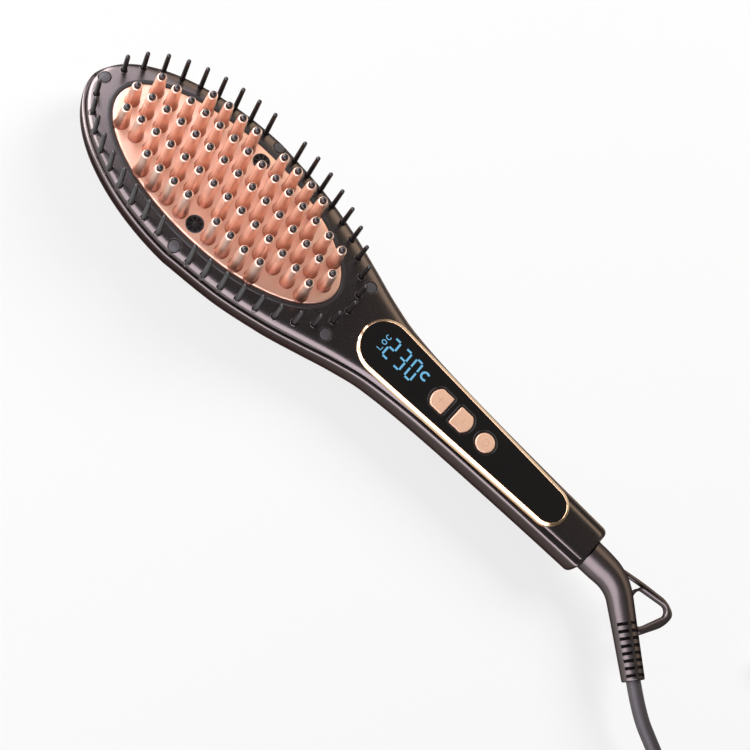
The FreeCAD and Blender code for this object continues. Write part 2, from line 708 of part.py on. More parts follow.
def make_outlets():
    emitters = []
    for side, name in ((1, "ion_outlet_left"), (-1, "ion_outlet_right")):
        y = side * outlet_y
        top = plate_top(0, y) + 0.35
        low = top - outlet_depth
        cup = cylinder(0, y, low, top, outlet_radius)
        cup = cup.cut(cylinder(0, y, low + 1.0, top + 1, outlet_radius - outlet_wall))
        spokes = [cylinder(0, y, top - 2.2, top - 1.2, 1.1)]
        for k in range(outlet_spokes):
            spoke = box(0.8, outlet_radius - 0.3, -0.25, 0.25, top - 2.2, top - 1.2)
            spoke.rotate(V(0, 0, 0), V(0, 0, 1), 360.0 * k / outlet_spokes)
            spoke.translate(V(0, y, 0))
            spokes.append(spoke)
        cup = cup.fuse(spokes).cut(cylinder(0, y, low - 1, low + 2, 0.8))
        save(name, [cup])
        holder = cylinder(0, y, low - emitter_length, low - 0.05, emitter_radius)
        needle = cylinder(0, y, low - emitter_length, low + 2.4, 0.5)
        emitters.append(holder.fuse(needle))
    save("ion_emitters", emitters)


def make_comb():
    outer = back_body(wall + comb_clearance)
    slab = outer.common(box(tip_x, strip_end_x, -big, big, -big, big))
    slab = slab.common(above(-comb_gap - comb_strip_thickness)).cut(above(-comb_gap))
    hole = oval(comb_tip_length - comb_strip_width / 2 + 0.6, comb_half_width - comb_strip_width / 2 - 0.4, -50, 50)
    strip = slab.cut(hole)
    pins = []
    for x, y, top in pin_places():
        lower = cylinder(x, y, strip_level(x) - comb_strip_thickness + 0.2, 4.0, pin_radius)
        upper = Part.makeCone(pin_radius, pin_tip_radius, top - pin_tip_radius - 4.0, V(x, y, 4.0))
        ball = Part.makeSphere(pin_tip_radius, V(x, y, top - pin_tip_radius))
        pins.append(lower.fuse([upper, ball]))
    for x, y in plugs:
        strip = strip.cut(cylinder(x, y, -50, 50, screw_radius + screw_clearance))
    comb = strip.fuse(pins)
    save("comb_ring", [comb])


def make_screws():
    caps, screws = [], []
    for x, y in plugs:
        top = plug_top(x, y)
        caps.append(cylinder(x, y, top - plug_thickness, top, plug_radius))
        seat = head_seat(x, y)
        head = cylinder(x, y, seat, seat + screw_head_height, screw_head_radius)
        head = head.cut(box(x - 1.2, x + 1.2, y - 0.3, y + 0.3, seat + 0.7, seat + 5))
        head = head.cut(box(x - 0.3, x + 0.3, y - 1.2, y + 1.2, seat + 0.7, seat + 5))
        screws.append(head.fuse(cylinder(x, y, seat - screw_length, seat, screw_radius)))
    save("screw_plugs", caps)
    save("case_screws", screws)


def wire_run(points, radius):
    # Straight lengths of wire with a ball at each corner
    run = None
    for a, b in zip(points, points[1:]):
        a, b = V(*a), V(*b)
        piece = Part.makeCylinder(radius, (b - a).Length, a, b - a)
        run = piece if run is None else run.fuse([piece, Part.makeSphere(radius, a)])
    return run


def make_wiring():
    low = clamp_bottom - 2.6
    wires = []
    for side in (1, -1):
        start = (heater_x + heater_length / 2 + 0.4, side * 3.0, heater_bottom + 1.2)
        wires.append(wire_run([start, (53.0, side * 3.0, heater_bottom + 1.2), (57.0, side * 3.0, low),
                               (80.0, side * 3.0, low), (84.4, side * 3.0, board_bottom - 0.9),
                               (89.0, side * 3.0, board_bottom - 0.9)], 0.8))
    save("heater_leads", wires)
    leads = []
    for side in (1, -1):
        start = (emitter_radius + 0.3, side * outlet_y, plate_top(0, outlet_y) + 0.35 - outlet_depth - 2.0)
        leads.append(wire_run([start, (16.0, side * 19.6, low - 0.4), (50.0, side * 12.0, low - 0.4),
                               (86.0, side * 6.4, board_bottom - 3.6), (93.9, side * 6.4, board_bottom - 3.6)], 0.6))
    save("ion_leads", leads)


def make_swivel():
    start, end = clamp_start, clamp_end
    block = box(start, end, -housing_half_width, housing_half_width,
                swivel_z - housing_half_height, swivel_z + housing_half_height)
    block = block.makeFillet(2.6, [e for e in block.Edges if abs(e.BoundBox.XLength - housing_length) < 1e-6])
    middle = (start + end) / 2
    block = block.cut(along_x(start - 1, end + 1, journal_radius + journal_clearance))
    pocket = along_x(middle - collar_length / 2 - collar_gap, middle + collar_length / 2 + collar_gap,
                     collar_radius + collar_gap)
    block = block.cut(pocket)
    upper = block.common(box(-big, big, -big, big, swivel_z, big))
    lower = block.common(box(-big, big, -big, big, -big, swivel_z))
    save("swivel_clamp_upper", [upper])
    save("swivel_clamp_lower", [lower])
    core = along_x(start - 0.5, core_end_x, journal_radius)
    core = core.fuse(along_x(middle - collar_length / 2, middle + collar_length / 2, collar_radius))
    core = core.fuse(along_x(start - 0.5 - spindle_length, start, spindle_radius))
    save("swivel_core", [core])
    rings, springs = [], []
    first = start - 0.5 - spindle_length + 1.4
    for k in range(2):
        x0 = first + k * ring_pitch
        ring = along_x(x0, x0 + ring_length, ring_radius).cut(along_x(x0 - 1, x0 + 3, spindle_radius + 0.01))
        rings.append(ring)
        low = swivel_z + ring_radius + rest_gap
        strip = box(x0 + 0.3, x0 + ring_length - 0.3, -4.0, 4.0, low, low + 0.3)
        for side in (1, -1):
            strip = strip.fuse(box(x0 + 0.3, x0 + ring_length - 0.3, side * 3.85 - 0.15, side * 3.85 + 0.15,
                                   low, holder_low))
        springs.append(strip)
    save("slip_rings", rings)
    save("contact_springs", springs)
    top = holder_low + 0.9
    holder = box(first - 2.6, start - 0.3, -5.2, 5.2, holder_low, top)
    for side in (1, -1):
        holder = holder.fuse(box(first - 2.6, start - 0.3, side * 5.8 - 0.6, side * 5.8 + 0.6, swivel_z - 2.0, top))
    save("contact_holder", [holder])


boot_start = handle_end_x + boot_end_gap


def make_boot():
    turn = math.radians(boot_turn)
    along = V(math.cos(turn), -math.sin(turn), 0)
    bend_x = boot_start + boot_straight
    boot = along_x(boot_start, bend_x, boot_radius)
    ring = Part.Face(Part.Wire(Part.makeCircle(boot_radius, V(bend_x, 0, swivel_z), V(1, 0, 0))))
    boot = boot.fuse(ring.revolve(V(bend_x, -boot_bend_radius, 0), V(0, 0, 1), -boot_turn))
    taper_x = bend_x + boot_bend_radius * math.sin(turn)
    taper_y = -boot_bend_radius * (1 - math.cos(turn))
    taper = Part.makeCone(boot_radius, boot_end_radius, boot_taper_length, V(taper_x, taper_y, swivel_z), along)
    boot = boot.fuse(taper)
    end_x = taper_x + boot_taper_length * along.x
    end_y = taper_y + boot_taper_length * along.y
    low = swivel_z - loop_thickness / 2
    corners = [V(handle_end_x + x, y, low) for x, y in loop_outer + loop_outer[:1]]
    loop = Part.Face(Part.makePolygon(corners)).extrude(V(0, 0, loop_thickness))
    low = swivel_z - loop_thickness
    corners = [V(handle_end_x + x, y, low) for x, y in loop_hole + loop_hole[:1]]
    hole = Part.Face(Part.makePolygon(corners)).extrude(V(0, 0, 2 * loop_thickness))
    boot = boot.fuse(loop).cut(hole)
    for k in range(slot_count):
        place = V(end_x, end_y, swivel_z) - along * (slot_first + k * slot_pitch)
        for y in (slot_root, -slot_root - boot_radius):
            slot = box(-slot_width / 2, slot_width / 2, y, y + boot_radius, -boot_radius - 2, boot_radius + 2)
            slot.rotate(V(0, 0, 0), V(0, 0, 1), -boot_turn)
            slot.translate(place)
            boot = boot.cut(slot)
    boot = boot.cut(along_x(handle_end_x, core_end_x + rest_gap, journal_radius + 0.02))
    save("cord_boot", [boot])
    return V(end_x, end_y, swivel_z), along


def cord_path(points):
    # Straight runs joined by arcs that touch them, each as large as its runs allow
    edges = []
    radii = []
    here = points[0]
    for i in range(1, len(points) - 1):
        back, out = points[i - 1] - points[i], points[i + 1] - points[i]
        shorter = min(back.Length, out.Length)
        turn = math.pi - back.getAngle(out)
        radius = 0.45 * shorter / math.tan(turn / 2)
        trim = 0.45 * shorter
        back.normalize()
        out.normalize()
        a, b = points[i] + back * trim, points[i] + out * trim
        inward = back + out
        inward.normalize()
        sagitta = radius / math.cos(turn / 2) - radius
        edges.append(Part.LineSegment(here, a).toShape())
        edges.append(Part.Arc(a, points[i] + inward * sagitta, b).toShape())
        radii.append(round(radius / (2 * cord_radius), 1))
        here = b
    edges.append(Part.LineSegment(here, points[-1]).toShape())
    return Part.Wire(edges), radii


def make_tube(name, points):
    path, radii = cord_path(points)
    first = points[1] - points[0]
    circle = Part.Wire(Part.makeCircle(cord_radius, points[0], first))
    tube = path.makePipeShell([circle], True, False)
    expected = math.pi * cord_radius ** 2 * path.Length
    print("%s: bend radii in cord diameters %s, length %.1f, volume share %.4f"
          % (name, radii, path.Length, tube.Volume / expected))
    save(name, [tube])


def make_cord(start, along):
    first = start + along * 0.02
    make_tube("cord_tube", [first] + [V(*p) for p in cord_route] + [coil_entry])
    coil_half_width, coil_height = coil_columns * cord_radius, coil_rows * 2 * cord_radius
    ring = Part.makeCylinder(coil_radius + coil_half_width, coil_height, V(coil_centre[0], coil_centre[1], floor_z))
    ring = ring.cut(Part.makeCylinder(coil_radius - coil_half_width, coil_height + 2,
                                      V(coil_centre[0], coil_centre[1], floor_z - 1)))
    ring = ring.makeFillet(cord_radius, [e for e in ring.Edges if e.BoundBox.ZLength < 1e-6])
    tie_x = coil_centre[0] - coil_radius
    save("cord_coil", [ring])
    band = box(tie_x - coil_half_width - tie_thickness - 0.4, tie_x + coil_half_width + tie_thickness,
               coil_centre[1] - tie_width / 2, coil_centre[1] + tie_width / 2,
               floor_z, floor_z + coil_height + tie_thickness)
    band = band.makeFillet(3.0, [e for e in band.Edges if abs(e.BoundBox.YLength - tie_width) < 1e-6])
    save("cord_tie", [band.cut(ring)])
    end = V(*tail_route[-1])
    make_tube("cord_tail", [tail_exit] + [V(*p) for p in tail_route])
    heading = end - V(*tail_route[-2])
    heading.z = 0
    heading.normalize()
    make_plug(end, math.degrees(math.atan2(heading.y, heading.x)))


def make_plug(at, angle):
    length, width, thickness = mains_body
    body = box(mains_neck_length, mains_neck_length + length, -width / 2, width / 2, -thickness / 2, thickness / 2)
    body = body.makeFillet(4.0, [e for e in body.Edges if abs(e.BoundBox.XLength - length) < 1e-6
                                 or (e.BoundBox.XLength < 1e-6 and e.BoundBox.XMin < mains_neck_length + 1)])
    neck = Part.makeCone(cord_radius + 0.8, mains_neck_radius, mains_neck_length + 2, V(0, 0, 0), V(1, 0, 0))
    body = body.fuse(neck)
    pins = []
    for side in (1, -1):
        pin = Part.makeCylinder(mains_pin_radius, mains_pin_length, V(mains_neck_length + length, side * mains_pin_pitch / 2, 0),
                                V(1, 0, 0))
        tip = [e for e in pin.Edges if abs(e.BoundBox.XMin - pin.BoundBox.XMax) < 1e-6]
        pins.append(pin.makeFillet(0.8, tip))
    for shape in [body] + pins:
        shape.rotate(V(0, 0, 0), V(0, 0, 1), angle)
        shape.translate(V(at.x, at.y, floor_z + thickness / 2))
    save("mains_plug", [body])
    save("plug_pins", pins)
    print("plug at", at, "angle %.2f" % angle)


# The lead joins the outermost turn on the floor and leaves the outermost turn above it
entry_angle = math.radians(-113.0)
outer_turn = coil_radius + (coil_columns - 1) * cord_radius
coil_entry = V(coil_centre[0] + outer_turn * math.cos(entry_angle),
               coil_centre[1] + outer_turn * math.sin(entry_angle), floor_z + cord_radius)
tail_exit = V(coil_centre[0] + outer_turn, coil_centre[1], floor_z + (2 * coil_rows - 1) * cord_radius)

make_shells()
make_buttons()
make_panel()
make_electronics()
make_plate()
make_heater()
make_carrier_and_seal()
make_outlets()
make_comb()
make_screws()
make_wiring()
make_swivel()
boot_end, boot_heading = make_boot()
make_cord(boot_end, boot_heading)
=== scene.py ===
import math
import bpy, bmesh
from mathutils import Matrix, Vector


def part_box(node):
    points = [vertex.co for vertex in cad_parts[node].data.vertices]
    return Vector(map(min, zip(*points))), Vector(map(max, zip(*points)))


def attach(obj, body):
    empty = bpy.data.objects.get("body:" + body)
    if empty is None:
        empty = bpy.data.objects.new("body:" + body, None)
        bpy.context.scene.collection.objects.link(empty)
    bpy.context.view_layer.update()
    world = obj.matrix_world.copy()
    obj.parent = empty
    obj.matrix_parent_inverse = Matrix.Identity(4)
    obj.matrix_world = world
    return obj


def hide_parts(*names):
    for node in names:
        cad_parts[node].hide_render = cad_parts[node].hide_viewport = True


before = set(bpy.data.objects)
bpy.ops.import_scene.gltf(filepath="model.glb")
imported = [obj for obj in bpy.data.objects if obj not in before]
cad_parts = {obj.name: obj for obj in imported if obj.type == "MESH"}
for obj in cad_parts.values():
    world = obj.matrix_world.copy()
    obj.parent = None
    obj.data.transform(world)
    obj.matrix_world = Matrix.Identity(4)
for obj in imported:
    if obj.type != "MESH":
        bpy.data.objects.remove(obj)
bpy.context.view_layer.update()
print("frame loaded with", len(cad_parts), "nodes")

# Layout numbers below are millimetres from the middle of the heating plate, at the plate's level:
# x runs to the end of the handle, z out of the plate. place() turns them into metres in the row frame.
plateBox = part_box("heating_plate")
layout = dict(
    middle=(plateBox[0].x + plateBox[1].x) / 2,
    level=0.0275,  # the plate's level above the table
)


def place(x, y, z):
    return Vector((layout["middle"] + x / 1000, y / 1000, layout["level"] + z / 1000))


def addObject(name, data):
    made = bpy.data.objects.new(name, data)
    bpy.context.scene.collection.objects.link(made)
    return made


class Sock:
    # A node's output. Arithmetic on it adds Math nodes.
    def __init__(self, finish, link):
        self.finish, self.link = finish, link

    def calc(self, operation, a, b):
        return self.finish.add("ShaderNodeMath", {"operation": operation}, {0: a, 1: b})

    def __add__(self, other):
        return self.calc("ADD", self, other)

    __radd__ = __add__

    def __sub__(self, other):
        return self.calc("SUBTRACT", self, other)

    def __rsub__(self, other):
        return self.calc("SUBTRACT", other, self)

    def __mul__(self, other):
        return self.calc("MULTIPLY", self, other)

    __rmul__ = __mul__


class Finish:
    # A material built round one Principled shader
    def __init__(self, name, fixed):
        self.data = bpy.data.materials.new(name)
        self.data.use_nodes = True
        self.tree = self.data.node_tree
        self.shader = self.tree.nodes["Principled BSDF"]
        for socket, value in fixed.items():
            self.shader.inputs[socket].default_value = value
        self.data.diffuse_color = fixed.get("Base Color", (0.5, 0.5, 0.5, 1))

    def add(self, kind, settings, values, out=0):
        node = self.tree.nodes.new(kind)
        for key, value in settings.items():
            if key == "stops":
                for spare in range(len(value) - 2):
                    node.color_ramp.elements.new(0.5)
                for stop, (position, colour) in zip(node.color_ramp.elements, value):
                    stop.position, stop.color = position, colour
            else:
                setattr(node, key, value)
        for key, value in values.items():
            self.plug(node.inputs[key], value)
        return Sock(self, node.outputs[out])

    def plug(self, socket, value):
        if isinstance(value, Sock):
            self.tree.links.new(value.link, socket)
        else:
            socket.default_value = value

    def feed(self, socket, value):
        self.plug(self.shader.inputs[socket], value)

    def where(self):
        return self.add("ShaderNodeTexCoord", {}, {}, out="Object")

    def noise(self, scale, detail=3.0, stretch=(1, 1, 1)):
        spot = self.add("ShaderNodeMapping", {}, {"Vector": self.where(), "Scale": stretch})
        return self.add("ShaderNodeTexNoise", {}, {"Vector": spot, "Scale": scale, "Detail": detail})

    def between(self, factor, a, b):
        return self.add("ShaderNodeMix", {"data_type": "RGBA"}, {0: factor, 6: a, 7: b}, out=2)

    def ramp(self, factor, stops):
        return self.add("ShaderNodeValToRGB", {"stops": stops}, {0: factor})

    def bump(self, height, strength, depth):
        values = {"Height": height, "Strength": strength, "Distance": depth}
        self.feed("Normal", self.add("ShaderNodeBump", {}, values))


def rgba(r, g, b):
    return (r, g, b, 1.0)


def dimmed(colour, share):
    return rgba(*(c * share for c in colour[:3]))


# Scale and detail of the noise behind each slow change of colour or gloss
slow = dict(
    cloud=(60.0, 4.0), smudge=(35.0, 5.0), drift=(45.0, 3.0), cells=(1800.0, 2.0), fibre=(300.0, 4.0),
)


def makeGrain(scale, sheen, strength, depth, smudge=0.0, stretch=(1, 1, 1)):
    # Fineness of a grain, how far it changes the gloss, the strength and depth of its bumps
    return dict(scale=scale, sheen=sheen, strength=strength, depth=depth, smudge=smudge, stretch=stretch)


def moulded(name, dark, light, rough, grain, fixed=None):
    # Plastic or rubber: a faint cloudiness in its colour, a fine moulded grain in its gloss
    dark, light = rgba(*dark), rgba(*light)
    finish = Finish(name, {"Base Color": dark, **(fixed or {})})
    finish.feed("Base Color", finish.between(finish.noise(*slow["cloud"]), dark, light))
    fine = finish.noise(grain["scale"], 2.0)
    smudge = finish.noise(*slow["smudge"])
    finish.feed("Roughness", rough + fine * grain["sheen"] + smudge * grain["smudge"])
    finish.bump(fine, grain["strength"], grain["depth"])
    return finish


def brushed(finish, rough, grain):
    # Adds the grain of a metal finish to its gloss and its bumps
    fine = finish.noise(grain["scale"], 3.0, grain["stretch"])
    finish.feed("Roughness", rough + fine * grain["sheen"])
    finish.bump(fine, grain["strength"], grain["depth"])
    return finish


def metal(name, dark, light, rough, grain, share=1.0, fixed=None):
    # Metal or metallic paint: a slow drift of colour, and a fine grain that can be drawn out one way
    dark, light = rgba(*dark), rgba(*light)
    finish = Finish(name, {"Base Color": light, "Metallic": share, **(fixed or {})})
    finish.feed("Base Color", finish.between(finish.noise(*slow["drift"]), dark, light))
    return brushed(finish, rough, grain)


def heightShadedMetal(name, tone, rough, grain, share):
    # A metal whose base colour follows its height over the table: painted shade, darker low down between the
    # fins and paler up high
    finish = Finish(name, {"Base Color": tone["plain"], "Metallic": share})
    height = finish.add("ShaderNodeSeparateXYZ", {}, {"Vector": finish.where()}, out=2)
    cloudy = finish.noise(*slow["drift"]) * tone["cloud"]
    factor = (height - tone["foot"]) * (1 / tone["rise"]) + cloudy
    finish.feed("Base Color", finish.ramp(factor, tone["stops"]))
    return brushed(finish, rough, grain)


def glowing(name, colour, dim, strength):
    # Lit segments: a little brighter in their middle than where the cells meet
    finish = Finish(name, {"Base Color": rgba(0.01, 0.02, 0.03), "Roughness": 0.35,
                           "Emission Strength": strength})
    finish.feed("Emission Color", finish.between(finish.noise(*slow["cells"]), dimmed(colour, dim), colour))
    return finish


satin = makeGrain(1500.0, 0.08, 0.12, 2e-5, smudge=0.05)
polished = makeGrain(900.0, 0.03, 0.04, 1e-5, smudge=0.05)
matt = makeGrain(2600.0, 0.12, 0.35, 4e-5, smudge=0.08)
woven = makeGrain(1900.0, 0.15, 0.55, 8e-5, smudge=0.1)
pearl = makeGrain(1700.0, 0.08, 0.1, 2e-5)
plated = makeGrain(1300.0, 0.1, 0.1, 2e-5)
drawn = makeGrain(900.0, 0.1, 0.1, 2e-5)

# dark pearl paint, whose gloss falls away at a slant
pearlEdge = {"Specular Tint": rgba(0.22, 0.2, 0.21)}
shellGloss = metal("shellGloss", (0.115, 0.099, 0.093), (0.14, 0.121, 0.114), 0.22, pearl, 1.0, pearlEdge)
reliefSatin = metal("reliefSatin", (0.1, 0.086, 0.082), (0.125, 0.108, 0.103), 0.32, pearl, 1.0, pearlEdge)

pinGloss = moulded("pinGloss", (0.009, 0.008, 0.008), (0.016, 0.014, 0.014), 0.26, satin)
tipGloss = moulded("tipGloss", (0.02, 0.014, 0.013), (0.034, 0.025, 0.024), 0.2, polished)
lensGloss = moulded("lensGloss", (0.006, 0.0055, 0.005), (0.01, 0.009, 0.0085), 0.1, polished)
sealMatt = moulded("sealMatt", (0.012, 0.01, 0.01), (0.022, 0.019, 0.018), 0.38, satin)
# near-black matt finish: painted shade where it is laid as flat discs and rings for holes, grooves and wells;
# plain black on the ion generator
blackAndHoleShade = moulded("blackAndHoleShade", (0.003, 0.003, 0.003), (0.006, 0.005, 0.005), 0.7, matt,
                     {"Specular IOR Level": 0.15})
strapWeave = moulded("strapWeave", (0.008, 0.008, 0.009), (0.02, 0.019, 0.02), 0.62, woven)
plugMatt = moulded("plugMatt", (0.034, 0.031, 0.034), (0.05, 0.046, 0.049), 0.48, matt)
rubber = moulded("rubber", (0.03, 0.025, 0.027), (0.048, 0.041, 0.044), 0.42, matt)
whiteCeramic = moulded("whiteCeramic", (0.7, 0.69, 0.66), (0.82, 0.81, 0.78), 0.45, satin)
amberSheet = moulded("amberSheet", (0.55, 0.24, 0.04), (0.65, 0.32, 0.07), 0.3, satin)
greenBoard = moulded("greenBoard", (0.01, 0.1, 0.035), (0.018, 0.14, 0.05), 0.4, satin)
wireRed = moulded("wireRed", (0.45, 0.02, 0.015), (0.55, 0.035, 0.025), 0.45, matt)
greyPad = moulded("greyPad", (0.16, 0.16, 0.17), (0.22, 0.22, 0.23), 0.6, matt)

roseGold = metal("roseGold", (0.82, 0.47, 0.34), (0.91, 0.54, 0.4), 0.28, plated, 0.58)
# painted shade: the fins' base colour darkens towards the plate, standing in for the shade between the fins;
# foot and rise are levels in metres
finShadeTone = dict(
    plain=rgba(0.92, 0.63, 0.52), foot=0.027, rise=0.018, cloud=0.08,
    stops=[(0.0, rgba(0.26, 0.095, 0.06)), (0.28, rgba(0.46, 0.21, 0.135)),
           (0.6, rgba(0.9, 0.59, 0.455)), (1.0, rgba(0.93, 0.64, 0.51))],
)
roseFin = heightShadedMetal("roseFin", finShadeTone, 0.26, plated, 0.52)
roseButton = metal("roseButton", (0.82, 0.49, 0.33), (0.9, 0.57, 0.4), 0.3,
                   makeGrain(700.0, 0.12, 0.15, 2e-5, stretch=(1, 12, 1)), 0.32)
# darker strokes on the keys: painted shade of engraved grooves, though the strokes stand a little proud; the
# rougher gloss is the etched finish
roseGrooveShade = metal("roseGrooveShade", (0.62, 0.35, 0.24), (0.72, 0.43, 0.3), 0.4, drawn, 0.32)
paleGold = metal("paleGold", (0.8, 0.53, 0.31), (0.9, 0.64, 0.41), 0.17, makeGrain(1100.0, 0.05, 0.05, 1e-5))
steel = metal("steel", (0.55, 0.55, 0.56), (0.66, 0.66, 0.67), 0.24,
              makeGrain(800.0, 0.12, 0.12, 2e-5, stretch=(1, 8, 1)))
copper = metal("copper", (0.68, 0.33, 0.2), (0.78, 0.42, 0.27), 0.28, drawn)
blueGlow = glowing("blueGlow", rgba(0.16, 0.5, 0.78), 0.8, 1.0)

finishOfNode = dict(
    plate_seal=sealMatt, plate_carrier=sealMatt, swivel_clamp_upper=sealMatt, swivel_clamp_lower=sealMatt,
    swivel_core=pinGloss, mains_plug=rubber, ion_generator=blackAndHoleShade,
    plug_pins=steel, board_screws=steel, tact_switches=steel, heater_clamp=steel, clamp_screws=steel,
    heat_shield=steel, case_screws=steel, slip_rings=copper, contact_springs=copper,
    ceramic_heaters=whiteCeramic, thermistor=whiteCeramic, thermal_fuse=whiteCeramic,
    ion_emitters=whiteCeramic, contact_holder=whiteCeramic, insulating_sheet=amberSheet,
    control_board=greenBoard, display_module=greyPad, keypad=greyPad, heater_leads=wireRed, ion_leads=wireRed,
)
for node, finish in finishOfNode.items():
    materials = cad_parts[node].data.materials
    materials.clear()
    materials.append(finish.data)
print("finishes ready")


class Shape:
    # Points in metres and faces, gathered for one piece
    def __init__(self):
        self.points, self.faces = [], []

    def rows(self, rows, closed=True, ends=(False, False)):
        # A sheet of four-sided faces over rows of points; ends says which end rows get a cap
        first, count = len(self.points), len(rows[0])
        for row in rows:
            self.points += row
        last = count if closed else count - 1
        for i in range(len(rows) - 1):
            for j in range(last):
                a, b = first + i * count + j, first + i * count + (j + 1) % count
                self.faces.append((a, b, b + count, a + count))
        final = len(self.points) - count
        self.faces += [tuple(range(start, start + count)) for start, cap in zip((first, final), ends) if cap]

    def turned(self, profile, x, y, steps, widen=(1.0, 1.0)):
        # A body of revolution standing at x, y; the profile lists radius and level
        spots = circle(0, 0, 1, steps)
        self.rows([[place(x + radius * widen[0] * c, y + radius * widen[1] * s, z) for c, s in spots]
                   for radius, z in profile], True, (False, True))

    def filled(self, outlines, level):
        # A flat face inside the first outline, with any other outlines as holes
        work = bmesh.new()
        edges = []
        for outline in outlines:
            ring = [work.verts.new(place(x, y, level)) for x, y in outline]
            edges += [work.edges.new((a, b)) for a, b in zip(ring, ring[1:] + ring[:1])]
        bmesh.ops.triangle_fill(work, use_beauty=True, edges=edges)
        work.verts.index_update()
        first = len(self.points)
        self.points += [v.co.copy() for v in work.verts]
        self.faces += [tuple(first + v.index for v in face.verts) for face in work.faces]
        work.free()

    def ribbon(self, path, width, low, high, loop=False):
        # A raised stroke of even width along a path of x, y points
        left, right = [], []
        before, after = (path[-1], path[0]) if loop else (path[0], path[-1])
        for (x0, y0), (x, y), (x1, y1) in zip([before] + path, path, path[1:] + [after]):
            run = math.hypot(x1 - x0, y1 - y0)
            nx, ny = -(y1 - y0) / run * width / 2, (x1 - x0) / run * width / 2
            left.append((x + nx, y + ny))
            right.append((x - nx, y - ny))
        rows = [[place(*l, low), place(*l, high), place(*r, high), place(*r, low)]
                for l, r in zip(left, right)]
        if loop:
            rows.append(rows[0])
        self.rows(rows, True, (not loop, not loop))

    def build(self, name, body, finish, sharp=35.0):
        mesh = bpy.data.meshes.new(name)
        mesh.from_pydata(self.points, [], self.faces)
        work = bmesh.new()
        work.from_mesh(mesh)
        bmesh.ops.remove_doubles(work, verts=work.verts, dist=2e-7)
        bmesh.ops.recalc_face_normals(work, faces=work.faces)
        work.to_mesh(mesh)
        work.free()
        mesh.polygons.foreach_set("use_smooth", [True] * len(mesh.polygons))
        mesh.set_sharp_from_angle(angle=math.radians(sharp))
        mesh.materials.append(finish.data)
        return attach(addObject(name, mesh), body)


def smoothCurve(points):
    # A cubic curve through the points that never overshoots them
    xs, ys = zip(*points)
    steps = [(ys[i + 1] - ys[i]) / (xs[i + 1] - xs[i]) for i in range(len(xs) - 1)]
    inner = [0.0 if a * b <= 0 else 2 * a * b / (a + b) for a, b in zip(steps, steps[1:])]
    slopes = [steps[0]] + inner + [steps[-1]]

    def value(x):
        x = min(max(x, xs[0]), xs[-1])
        i = max(k for k in range(len(xs) - 1) if xs[k] <= x)
        h = xs[i + 1] - xs[i]
        t = (x - xs[i]) / h
        return (ys[i] * (1 + 2 * t) * (1 - t) ** 2 + ys[i + 1] * t * t * (3 - 2 * t)
                + h * slopes[i] * t * (1 - t) ** 2 - h * slopes[i + 1] * t * t * (1 - t))
    return value


def onCircle(x, y, radius, angles):
    # Points at these angles, in degrees
    return [(x + radius * math.cos(a), y + radius * math.sin(a)) for a in map(math.radians, angles)]


def arc(x, y, radius, start, end, count):
    return onCircle(x, y, radius, [start + (end - start) * k / count for k in range(count + 1)])


def circle(x, y, radius, steps):
    return onCircle(x, y, radius, [360 * k / steps for k in range(steps)])


# The two shells meet in a groove that climbs a little towards the end of the handle
shells = dict(
    # the head begins where the frame's shell does
    tip=1000 * (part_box("back_shell")[0].x - layout["middle"]), end=212.0, roundness=1.93,
    widths=[(0, 36.8), (24, 34.7), (48, 29.9), (66, 24.6), (80, 20.2), (96, 16.5), (120, 14.2),
            (150, 12.8), (190, 11.7), (212, 11.3)],
    shoulders=[(0, -10.5), (40, -10.5), (90, -12.4), (150, -12.2), (212, -11.4)],
    bellies=[(0, 16.98), (45, 16.5), (70, 13.2), (95, 10.1), (150, 9.3), (212, 8.6)],
    tops=[(0, -1.9), (60, -1.9), (90, -3.1), (212, -3.1)],
    frontSteps=[(0, 1.15), (110, 1.3), (150, 2.2), (212, 2.2)],
    split=-6.8, splitSlope=0.0127, groove=0.7,
    topPower=5.5, rimPower=5.0, bellyPower=3.0,
    frontTipPower=8, bellyTipPower=4,  # a higher power keeps the full height nearer to the tip
    sideOver=1.45,  # the back shell's side would close this far over the front face
    topCrowding=0.8, bellyCrowding=1.1,  # how the points of a row gather towards its side
    rims=[(-76, 2.4), (-40, 1.7), (0, 1.0), (60, 1.0), (110, 1.6), (150, 2.0), (212, 2.0)],
    tipStep=1.6,  # how far the front shell's tip is set back from the back shell's
    ledge=[(5.6, 0.7), (4.6, -0.1)],  # how far in from the edge, and how high over the rim
    lipRadius=0.35, endRadius=2.4,
    lipShare=0.3, rimShare=0.12,  # the most that lip and rim take of the half width
    faceShare=0.9995,  # beyond this share of the half width the face keeps its level
    leastRise=0.01, highestLip=0.98, highestRim=0.9,
    tipSteps=48, rowStep=2.5, around=40,
)
frontTip = shells["tip"] + shells["tipStep"]
fullWidth = smoothCurve(shells["widths"])
shoulderAt = smoothCurve(shells["shoulders"])
bellyDepth = smoothCurve(shells["bellies"])
topAt = smoothCurve(shells["tops"])
frontStep = smoothCurve(shells["frontSteps"])
rimRound = smoothCurve(shells["rims"])


def fade(x, tip, power):
    # From 1 at nought to nothing at the tip, along a rounded line
    return max(1 - (x / tip) ** power, 0.0) ** (1 / power)


def halfWidth(x, step):
    # The front shell, which has a step, is set back more at the tip than at the sides
    if x >= 0:
        return fullWidth(x) - step
    return (fullWidth(0) - step) * fade(x, frontTip if step else shells["tip"], shells["roundness"])


def splitAt(x):
    return shells["split"] + shells["splitSlope"] * x


def endStep(x):
    # How far the surface has rounded in near the end of the handle
    r = shells["endRadius"]
    over = x - (shells["end"] - r)
    return r - math.sqrt(max(r * r - over * over, 0.0)) if over > 0 else 0.0


def frontRise(x):
    rise = topAt(x) - shoulderAt(x) - endStep(x)
    if x < 0:
        rise *= fade(x, frontTip, shells["frontTipPower"])
        rise = max(rise, splitAt(x) + 2 * shells["lipRadius"] - shoulderAt(x))
    return rise


def faceHeight(x, y):
    # Level of the front face at a place on it
    share = min(abs(y) / (halfWidth(x, frontStep(x)) - endStep(x)), shells["faceShare"])
    return shoulderAt(x) + frontRise(x) * fade(share, 1, shells["topPower"])


